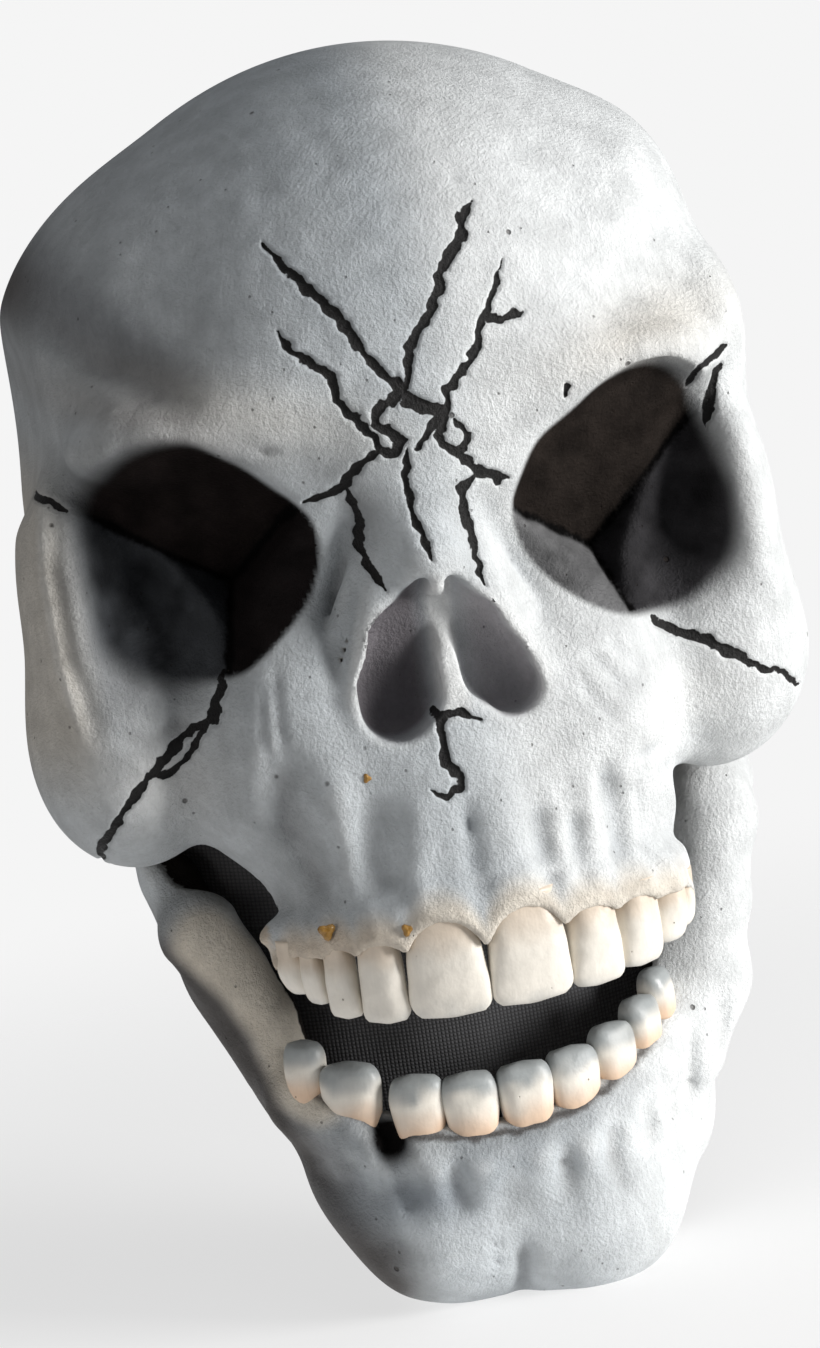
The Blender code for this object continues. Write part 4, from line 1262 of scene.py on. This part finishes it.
def latex_material():
    nodes = Nodes("painted_latex")
    paint = nodes.attribute("paint").outputs["Color"]
    crack = nodes.attribute("crack").outputs["Fac"]
    grain = nodes.noise(1.1, 4.0, 0.7)
    mottle = nodes.noise(11.0, 4.0, 0.62)
    brushed = nodes.noise(2.6, 3.0, 0.6, nodes.stretched(1.0, 1.0, 0.28))
    big_pits = pitted(nodes, 12.0, 0.22, 0.085)
    small_pits = pitted(nodes, 5.0, 0.30, 0.10)
    tone = nodes.ramp(mottle, 0.3, 0.72, 0.86, 1.05)
    tone = nodes.maths("MULTIPLY", tone, nodes.ramp(grain, 0.3, 0.7, 0.93, 1.03))
    tone = nodes.maths("MULTIPLY", tone, nodes.ramp(brushed, 0.3, 0.7, 0.96, 1.03))
    tint = nodes.mix(1.0, paint, nodes.mix(1.0, (1, 1, 1), tone, "MULTIPLY"), "MULTIPLY")
    speck = nodes.maths("MAXIMUM", big_pits, nodes.maths("MULTIPLY", small_pits, 0.6))
    tint = nodes.mix(nodes.maths("MULTIPLY", speck, 0.72), tint, colour(58, 52, 48))
    ragged = nodes.maths("MULTIPLY_ADD", nodes.noise(1.1, 3.0), 0.9, -0.42)
    inside = nodes.maths("ADD", crack, ragged)
    line = nodes.ramp(inside, -0.10, 0.12)
    tint = nodes.mix(line, tint, BLACK)
    height = nodes.maths("MULTIPLY_ADD", grain, 0.55, nodes.maths("MULTIPLY", mottle, 0.5))
    height = nodes.maths("MULTIPLY_ADD", brushed, 0.12, height)
    height = nodes.maths("MULTIPLY_ADD", speck, -0.6, height)
    roughness = nodes.ramp(grain, 0.3, 0.7, 0.5, 0.66)
    parts = nodes.new("SeparateColor")
    nodes.link(paint, parts.inputs[0])
    gloss = nodes.ramp(parts.outputs[0], 0.01, 0.25, 0.04, 0.35)
    nodes.link(gloss, nodes.shader.inputs["Specular IOR Level"])
    return nodes.finish(tint, roughness, nodes.bump(height, 1.5))


def tooth_material():
    nodes = Nodes("painted_tooth")
    paint = nodes.attribute("paint").outputs["Color"]
    lines = nodes.noise(1.1, 3.0, 0.6, nodes.stretched(1.0, 1.0, 0.12))
    mottle = nodes.noise(5.0, 3.0)
    tone = nodes.ramp(lines, 0.3, 0.7, 0.97, 1.01)
    tone = nodes.maths("MULTIPLY", tone, nodes.ramp(mottle, 0.3, 0.7, 0.94, 1.02))
    tint = nodes.mix(1.0, paint, nodes.mix(1.0, (1, 1, 1), tone, "MULTIPLY"), "MULTIPLY")
    pits = pitted(nodes, 5.0, 0.2, 0.08)
    tint = nodes.mix(nodes.maths("MULTIPLY", pits, 0.6), tint, colour(96, 78, 60))
    height = nodes.maths("MULTIPLY_ADD", mottle, 0.6, nodes.maths("MULTIPLY", lines, 0.05))
    height = nodes.maths("MULTIPLY_ADD", pits, -0.5, height)
    return nodes.finish(tint, nodes.ramp(mottle, 0.3, 0.7, 0.36, 0.5), nodes.bump(height, 0.6))


def woven_material(name, thread, low, high, size):
    """Two crossed sets of threads, size millimetres apart."""
    nodes = Nodes(name)
    parts = nodes.new("SeparateXYZ")
    nodes.link(nodes.where, parts.inputs[0])
    across = nodes.maths("MULTIPLY", parts.outputs["X"], math.pi * 1000.0 / size)
    up = nodes.maths("MULTIPLY", parts.outputs["Z"], math.pi * 1000.0 / size)
    one = nodes.maths("ABSOLUTE", nodes.maths("SINE", across))
    two = nodes.maths("ABSOLUTE", nodes.maths("SINE", up))
    weave = nodes.maths("MULTIPLY", one, two)
    fuzz = nodes.noise(0.6, 2.0)
    tint = nodes.mix(nodes.ramp(weave, 0.1, 0.8), low, high)
    tint = nodes.mix(nodes.maths("MULTIPLY", fuzz, 0.35), tint, thread)
    height = nodes.maths("MULTIPLY_ADD", fuzz, 0.3, weave)
    return nodes.finish(tint, 0.85, nodes.bump(height, 0.25), Sheen_Weight=0.2)


def foam_material():
    nodes = Nodes("open_cell_foam")
    cells = nodes.cells(1.1)
    fine = nodes.noise(0.7, 2.0)
    hollow = nodes.ramp(cells.outputs["Distance"], 0.15, 0.6)
    tint = nodes.mix(hollow, colour(28, 28, 30), colour(74, 74, 78))
    height = nodes.maths("MULTIPLY_ADD", fine, 0.3, hollow)
    return nodes.finish(tint, 0.95, nodes.bump(height, 0.4))


def steel_material():
    nodes = Nodes("worn_steel")
    streaks = nodes.noise(0.8, 3.0, 0.6, nodes.stretched(1.0, 0.15, 1.0))
    spots = nodes.noise(3.0, 3.0)
    tint = nodes.mix(nodes.ramp(spots, 0.35, 0.7), colour(150, 150, 152), colour(186, 186, 188))
    roughness = nodes.ramp(streaks, 0.3, 0.7, 0.26, 0.42)
    return nodes.finish(tint, roughness, nodes.bump(streaks, 0.05), Metallic=1.0)


def nylon_material():
    nodes = Nodes("moulded_nylon")
    fine = nodes.noise(0.5, 2.0)
    cloud = nodes.noise(6.0, 2.0)
    tint = nodes.mix(cloud, colour(30, 30, 31), colour(44, 44, 46))
    return nodes.finish(tint, nodes.ramp(fine, 0.3, 0.7, 0.42, 0.58), nodes.bump(fine, 0.06))


def glue_material():
    nodes = Nodes("amber_glue")
    cloud = nodes.noise(1.5, 3.0)
    tint = nodes.mix(cloud, colour(116, 78, 26), colour(176, 136, 66))
    return nodes.finish(tint, nodes.ramp(cloud, 0.3, 0.7, 0.2, 0.4), nodes.bump(cloud, 0.4))


# Teeth ---------------------------------------------------------------------------------------

IVORY = colour(232, 226, 215)
TAN = colour(204, 182, 158)
GREY_TIP = colour(138, 146, 150)
PEACH = colour(222, 184, 150)


def arch_place(arch, x):
    """Depth of the tooth row at x, and the angle by which a tooth there turns outwards."""
    part = x / arch["half_width"]
    root = math.sqrt(1.0 - part * part)
    depth = arch["front"] + arch["depth"] * (1.0 - root)
    return depth, math.atan(arch["depth"] * part / (arch["half_width"] * root))


def tooth_mesh(x, width, gum, edge, arch, seed, upper):
    """A crown lofted from a buried root to a rounded biting edge, and the share of each ring's height."""
    depth, turn = arch_place(arch, x)
    cos, sin = math.cos(turn), math.sin(turn)
    columns, rows = 28, 26
    buried, thickness, squareness = 5.0, 5.0, 0.72
    down = -1.0 if upper else 1.0
    root = gum - down * buried
    length = abs(edge - root)
    random = np.random.default_rng(seed)
    lean = random.uniform(-0.25, 0.25)
    points, shares = [], []
    for row in range(rows + 1):
        share = row / rows
        height = root + down * length * share
        crown = np.clip((share * length - buried) / (length - buried), 0.0, 1.0)
        if upper:
            spread = 0.70 + 0.34 * math.sin(min(1.0, 0.25 + crown * 0.75) * math.pi / 2.0)
            thick = 0.98 - 0.42 * crown
            corner = 0.30
        else:
            spread = 0.68 + 0.34 * math.sin(min(1.0, 0.2 + crown) * math.pi / 2.0)
            thick = 0.9 - 0.18 * crown
            corner = 0.42
        close = 1.0
        if crown > 1.0 - corner:
            part = (crown - (1.0 - corner)) / corner
            close = (max(0.0, 1.0 - part**3.2)) ** (1.0 / 2.6)
        half_w = width / 2.0 * spread * (0.25 + 0.75 * close)
        half_t = thickness * thick * (0.35 + 0.65 * close)
        if row == rows:
            half_w, half_t = width / 2.0 * spread * 0.16, 0.6
        bulge = 1.3 * math.sin(math.pi * min(1.0, crown * 0.9 + 0.1))
        for column in range(columns):
            angle = 2.0 * math.pi * column / columns
            c, s = math.cos(angle), math.sin(angle)
            u = half_w * math.copysign(abs(c) ** squareness, c)
            v = half_t * math.copysign(abs(s) ** squareness, s)
            v -= bulge * max(0.0, -s) * (1.0 - 0.35 * c * c)
            u += lean * crown
            points.append((x + u * cos - v * sin, depth + u * sin + v * cos, height))
            shares.append(crown)
    return np.array(points), tube_faces(rows + 1, columns, inward=upper), np.array(shares)


def make_teeth(material):
    """Every crown where its CAD tooth is, a little uneven, and darker or warmer towards gum and tip."""
    for jaw, teeth, arch, body in (
        ("upper", UPPER_TEETH, UPPER_ARCH, "skull"),
        ("lower", LOWER_TEETH, LOWER_ARCH, "jaw"),
    ):
        upper = jaw == "upper"
        for number, (tooth, usual) in enumerate(teeth.items()):
            for name, side in SIDES.items():
                if not upper and (tooth, name) == MISSING_TOOTH:
                    continue
                seed = number * 7 + (3 if side > 0 else 5) + (0 if upper else 40)
                x, *sizes = SPECIAL_TEETH.get((jaw, tooth, name), usual)
                points, faces, crown = tooth_mesh(side * x, *sizes, arch, seed, upper)
                points = skull_lean(points) if upper else jaw_lean(points)
                points = points + np.c_[
                    0.18 * waves(points[:, 2], points[:, 0], 5.0, seed),
                    0.35 * waves(points[:, 0], points[:, 2], 4.0, seed + 1),
                    0.25 * waves(points[:, 0], points[:, 1], 4.0, seed + 2),
                ]
                patch = waves(points[:, 0], points[:, 2], 4.0, seed + 3)
                layers = (
                    (PEACH, 0.8 * fade(crown + 0.08 * patch, 0.56, 0.1)),
                    (GREY_TIP, 0.85 * fade(crown + 0.12 * patch, 0.5, 0.84)),
                    (BROWN, 0.6 * fade(crown, 0.08, 0.0)),
                )
                if upper:
                    layers = (
                        (TAN, 0.6 * fade(crown + 0.08 * patch, 0.42, 0.0)),
                        (GREY_TIP, 0.25 * fade(crown + 0.1 * patch, 0.8, 1.0)),
                    )
                paint = mixed(np.tile(IVORY, (len(points), 1)), *layers)
                node = f"{jaw}_{tooth}_{name}"
                piece = new_piece(f"{node}_crown", points, faces, material, paint)
                carry(piece, node, body)


# Soft parts ----------------------------------------------------------------------------------


def puffed_pad(node, material, body):
    """A foam block swollen by a short cloth simulation from the CAD block's own shape."""
    source = frame["nodes"][node]
    low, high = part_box(node)
    pad = put(node + "_foam", source.data.copy())
    centre = (low + high) / 2.0
    pad.data.transform(Matrix.Translation(-centre))
    pad.data.transform(Matrix.Diagonal((PAD_START, PAD_START, PAD_START, 1.0)))
    pad.data.transform(Matrix.Translation(centre))
    remesh = pad.modifiers.new("even", "REMESH")
    remesh.mode = "VOXEL"
    remesh.voxel_size = PAD_VOXEL * MM
    graph = bpy.context.evaluated_depsgraph_get()
    pad.data = bpy.data.meshes.new_from_object(pad.evaluated_get(graph))
    pad.modifiers.clear()
    before = np.array([v.co for v in pad.data.vertices])
    cloth = pad.modifiers.new("swell", "CLOTH")
    cloth.settings.use_pressure = True
    cloth.settings.uniform_pressure_force = PAD_PRESSURE
    cloth.settings.effector_weights.gravity = 0.0
    scene = bpy.context.scene
    for number in range(1, PAD_FRAMES + 1):
        scene.frame_set(number)
    graph = bpy.context.evaluated_depsgraph_get()
    swollen = bpy.data.meshes.new_from_object(pad.evaluated_get(graph))
    after = np.array([v.co for v in swollen.vertices])
    pad.modifiers.clear()
    move = after - before
    size = np.linalg.norm(move, axis=1, keepdims=True)
    move *= np.minimum(1.0, PAD_SWELLING * MM / np.maximum(size, 1e-9))
    swelled = np.clip(before + move, np.array(low), np.array(high)).astype(np.float32)
    pad.data.vertices.foreach_set("co", swelled.ravel())
    scene.frame_set(1)
    smooth = pad.modifiers.new("ease", "SMOOTH")
    smooth.iterations = 3
    finer = pad.modifiers.new("finer", "SUBSURF")
    finer.levels = finer.render_levels = 1
    pad.data.materials.clear()
    pad.data.materials.append(material)
    pad.data.shade_smooth()
    carry(pad, node, body)


def make_screen(material):
    """The fine mouth screen: a curved, slightly slack sheet that follows the jaw at its lower edge."""
    columns, rows = 84, 60
    points, faces = [], []
    for row in range(rows + 1):
        share = row / rows
        height = SCREEN_BOTTOM + (SCREEN_TOP - SCREEN_BOTTOM) * share
        half_angle = SCREEN_TOP_ANGLE + (SCREEN_BOTTOM_ANGLE - SCREEN_TOP_ANGLE) * (1.0 - share) ** 2
        for column in range(columns + 1):
            angle = math.radians(half_angle * (2.0 * column / columns - 1.0))
            reach = SCREEN_RADIUS - 1.6 * math.sin(math.pi * share) * math.cos(angle)
            points.append((reach * math.sin(angle), SCREEN_CENTRE_DEPTH - reach * math.cos(angle), height))
    points = np.array(points)
    points[:, 1] += 0.8 * waves(points[:, 0], points[:, 2], 14.0, 51)
    for row in range(rows):
        for column in range(columns):
            a = row * (columns + 1) + column
            faces.append((a, a + 1, a + columns + 2, a + columns + 1))
    screen = new_piece("mouth_screen_fabric", points, faces, material)
    thick = screen.modifiers.new("cloth", "SOLIDIFY")
    thick.thickness = 0.7 * MM
    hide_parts("mouth_screen")
    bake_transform(screen)


def band_path():
    """(x, depth) points from the right pivot round the back of the head to the left one."""
    end_x, rim_x, straight, start, back = 88.0, 81.0, 34.0, 156.0, 226.0
    right = [
        (end_x, BAND_PIVOT[0] - 10.0),
        (end_x, BAND_PIVOT[0] + 7.0),
        (rim_x + 0.4, RIM_DEPTH - 2.0),
    ]
    for number in range(25):
        angle = math.radians(90.0 * number / 24)
        x = straight + (rim_x - straight) * math.cos(angle)
        right.append((x, start + (back - start) * math.sin(angle)))
    return right + [(-x, depth) for x, depth in reversed(right)]


def make_band(material):
    """Ribbed elastic webbing with a rolled edge, laid along the CAD band's path."""
    path = np.array(band_path())
    low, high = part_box("head_band")
    middle = ((low.z + high.z) / 2.0 - ORIGIN.z) / MM
    half = (high.z - low.z) / 2.0 / MM
    ahead = np.gradient(path, axis=0)
    ahead /= np.linalg.norm(ahead, axis=1)[:, None]
    normal = np.c_[ahead[:, 1], -ahead[:, 0]]
    rows = 49
    profile = []
    for row in range(rows):
        share = -1.0 + 2.0 * row / (rows - 1)
        edge = fade(abs(share), 1.0, 0.93)
        rib = 0.5 + 0.5 * math.cos(row * math.pi / 2.0)
        profile.append((share * half, 0.30 + 0.34 * edge + 0.14 * rib * edge))
    ring = [(h, t) for h, t in profile] + [(h, -t) for h, t in reversed(profile)]
    points = []
    for spot, out in zip(path, normal):
        for height, offset in ring:
            points.append((spot[0] + out[0] * offset, spot[1] + out[1] * offset, middle + height))
    band = new_piece("head_band_webbing", np.array(points), tube_faces(len(path), len(ring)), material)
    carry(band, "head_band", "band")


def make_glue(material, clay, outer):
    """Small beads of dried glue left on the gum."""
    rows, columns = 10, 16
    for number, (x, height, size) in enumerate(GLUE_BEADS):
        depth = 0.0
        while clay.samples(outer, np.array([[x, depth, height]]))[0] > 0.0 and depth < 60.0:
            depth += 0.25
        points = []
        for row in range(rows + 1):
            polar = math.pi * row / rows
            for column in range(columns):
                angle = 2.0 * math.pi * column / columns
                flat = math.sin(polar)
                ray = np.array((flat * math.cos(angle), -0.5 * math.cos(polar), flat * math.sin(angle)))
                lump = 1.0 + 0.25 * math.sin(3.0 * angle + number) * math.sin(polar)
                points.append(np.array((x, depth, height)) + ray * size * lump)
        faces = tube_faces(rows + 1, columns, capped=False)
        bead = new_piece(f"glue_bead_{number + 1}", np.array(points), faces, material)
        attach(bead, "skull")


# Scene ---------------------------------------------------------------------------------------


def make_camera():
    """Looks at the mask from a little beside and above it, tilted sideways."""
    azimuth, elevation, roll = (math.radians(angle) for angle in CAMERA_TURN)
    level = math.cos(elevation)
    back = Vector((math.sin(azimuth) * level, -math.cos(azimuth) * level, math.sin(elevation)))
    right = Vector((math.cos(azimuth), math.sin(azimuth), 0.0))
    up = back.cross(right)
    tilted_right = right * math.cos(roll) - up * math.sin(roll)
    tilted_up = right * math.sin(roll) + up * math.cos(roll)
    data = bpy.data.cameras.new("camera")
    data.sensor_fit = "VERTICAL"
    data.sensor_height = data.sensor_width = SENSOR
    data.lens = LENS
    camera = put("camera", data)
    turn = Matrix((tilted_right, tilted_up, back)).transposed().to_4x4()
    camera.matrix_world = Matrix.Translation(place(CAMERA_PLACE)) @ turn
    bpy.context.scene.camera = camera


def make_lamp(name, position, size, power, tint):
    data = bpy.data.lights.new(name, "AREA")
    data.size = size
    data.energy = power
    data.color = tint
    lamp = put(name, data)
    lamp.location = position
    lamp.rotation_euler = (Vector(LAMP_TARGET) - Vector(position)).to_track_quat("-Z", "Y").to_euler()


def make_world():
    world = bpy.data.worlds.new("studio")
    bpy.context.scene.world = world
    world.use_nodes = True
    tree = world.node_tree
    seen, cast = tree.nodes["Background"], tree.nodes.new("ShaderNodeBackground")
    seen.inputs["Color"].default_value = (*colour(245, 245, 245), 1.0)
    cast.inputs["Color"].default_value = (0.95, 0.97, 1.0, 1.0)
    cast.inputs["Strength"].default_value = SKY_STRENGTH
    path = tree.nodes.new("ShaderNodeLightPath")
    pick = tree.nodes.new("ShaderNodeMixShader")
    tree.links.new(path.outputs["Is Camera Ray"], pick.inputs[0])
    tree.links.new(cast.outputs[0], pick.inputs[1])
    tree.links.new(seen.outputs[0], pick.inputs[2])
    tree.links.new(pick.outputs[0], tree.nodes["World Output"].inputs[0])


def make_floor():
    """A round pale floor whose edge fades out, so that it has no horizon line."""
    nodes = Nodes("pale_floor")
    length = nodes.new("VectorMath", operation="LENGTH")
    nodes.link(nodes.where, length.inputs[0])
    shown = nodes.ramp(length.outputs["Value"], 0.16, 0.55, 1.0, 0.0)
    nodes.link(colour(150, 150, 150), nodes.shader.inputs["Base Color"])
    nodes.link(colour(245, 245, 245), nodes.shader.inputs["Emission Color"])
    nodes.shader.inputs["Emission Strength"].default_value = 0.72
    nodes.shader.inputs["Roughness"].default_value = 0.9
    nodes.link(shown, nodes.shader.inputs["Alpha"])
    count = 64
    mesh = bpy.data.meshes.new("floor")
    turns = [2.0 * math.pi * number / count for number in range(count)]
    ring = [(FLOOR_RADIUS * math.cos(turn), FLOOR_RADIUS * math.sin(turn), 0.0) for turn in turns]
    mesh.from_pydata(ring, [], [tuple(range(count))])
    mesh.materials.append(nodes.material)
    floor = put("floor", mesh)
    floor.location = (0.0, 0.0, CAD_BOX[0].z - FLOOR_GAP)


def finer_near_cracks(points, faces, distance):
    """Splits the faces near the cracks so that their edges can be sharp."""
    mesh = bpy.data.meshes.new("scratch")
    mesh.from_pydata(points.tolist(), [], faces.tolist())
    work = bmesh.new()
    work.from_mesh(mesh)
    near = distance > FINE_START
    edges = [edge for edge in work.edges if near[edge.verts[0].index] and near[edge.verts[1].index]]
    bmesh.ops.subdivide_edges(work, edges=edges, cuts=2, use_grid_fill=True)
    work.to_mesh(mesh)
    work.free()
    points = np.array([v.co for v in mesh.vertices])
    faces = [tuple(face.vertices) for face in mesh.polygons]
    bpy.data.meshes.remove(mesh)
    return points, faces


def carved(clay, outer, points, lean):
    """The points with the cracks' grooves sunk into the outside."""
    outside = np.abs(clay.samples(outer, points)) < GROOVE_SKIN
    groove = fade(crack_depth(lean(points)), GROOVE_START, GROOVE_FULL) * GROOVE_DEPTH * outside
    slope = clay.gradients(outer, points)
    slope /= np.maximum(np.linalg.norm(slope, axis=1, keepdims=True), 1e-6)
    return points - slope * groove[:, None]


def make_shell(name, node, body, sculpt, lean, paint, material):
    """Sculpts, meshes, carves and paints a latex shell; returns its clay and its outer form."""
    clay, outer = sculpt()
    points, faces = clay.surface()
    points = relaxed(points, faces, 2)
    points = clay.settled(points)
    if body == "skull":
        points, faces = finer_near_cracks(points, faces, crack_depth(lean(points)))
        points = clay.settled(points)
    points = carved(clay, outer, points, lean)
    colours, numbers = paint(clay, outer, points, lean(points))
    shell = new_piece(name, lean(points), faces, material, colours, numbers)
    carry(shell, node, body)
    return clay, outer


latex = latex_material()
tooth_paint = tooth_material()
foam = foam_material()
steel = steel_material()
nylon = nylon_material()
webbing = woven_material("ribbed_webbing", colour(70, 70, 74), colour(12, 12, 13), colour(36, 36, 38), 1.4)
screen_mesh = woven_material("screen_mesh", colour(96, 96, 98), colour(48, 48, 50), colour(76, 76, 79), 1.1)

skull_clay, skull_outer = make_shell(
    "skull_latex", "skull_skin", "skull", sculpt_skull, skull_lean, paint_skull, latex
)
make_shell("jaw_latex", "jaw_skin", "jaw", sculpt_jaw, jaw_lean, paint_jaw, latex)
make_teeth(tooth_paint)
make_screen(screen_mesh)
make_band(webbing)
make_glue(glue_material(), skull_clay, skull_outer)
for pad_node in ("brow_pad", "crown_pad", "temple_pad_left", "temple_pad_right"):
    puffed_pad(pad_node, foam, "skull")
puffed_pad("chin_pad", foam, "jaw")
for word, node_material in (("rivet", steel), ("washer", steel), ("spacer", nylon), ("slider", nylon)):
    for node_name, node_object in frame["nodes"].items():
        if word in node_name:
            node_object.data.materials.clear()
            node_object.data.materials.append(node_material)

bpy.context.scene.view_settings.view_transform = "Standard"
make_world()
make_floor()
for lamp_name, lamp_values in LAMPS.items():
    make_lamp(lamp_name, *lamp_values)
make_camera()
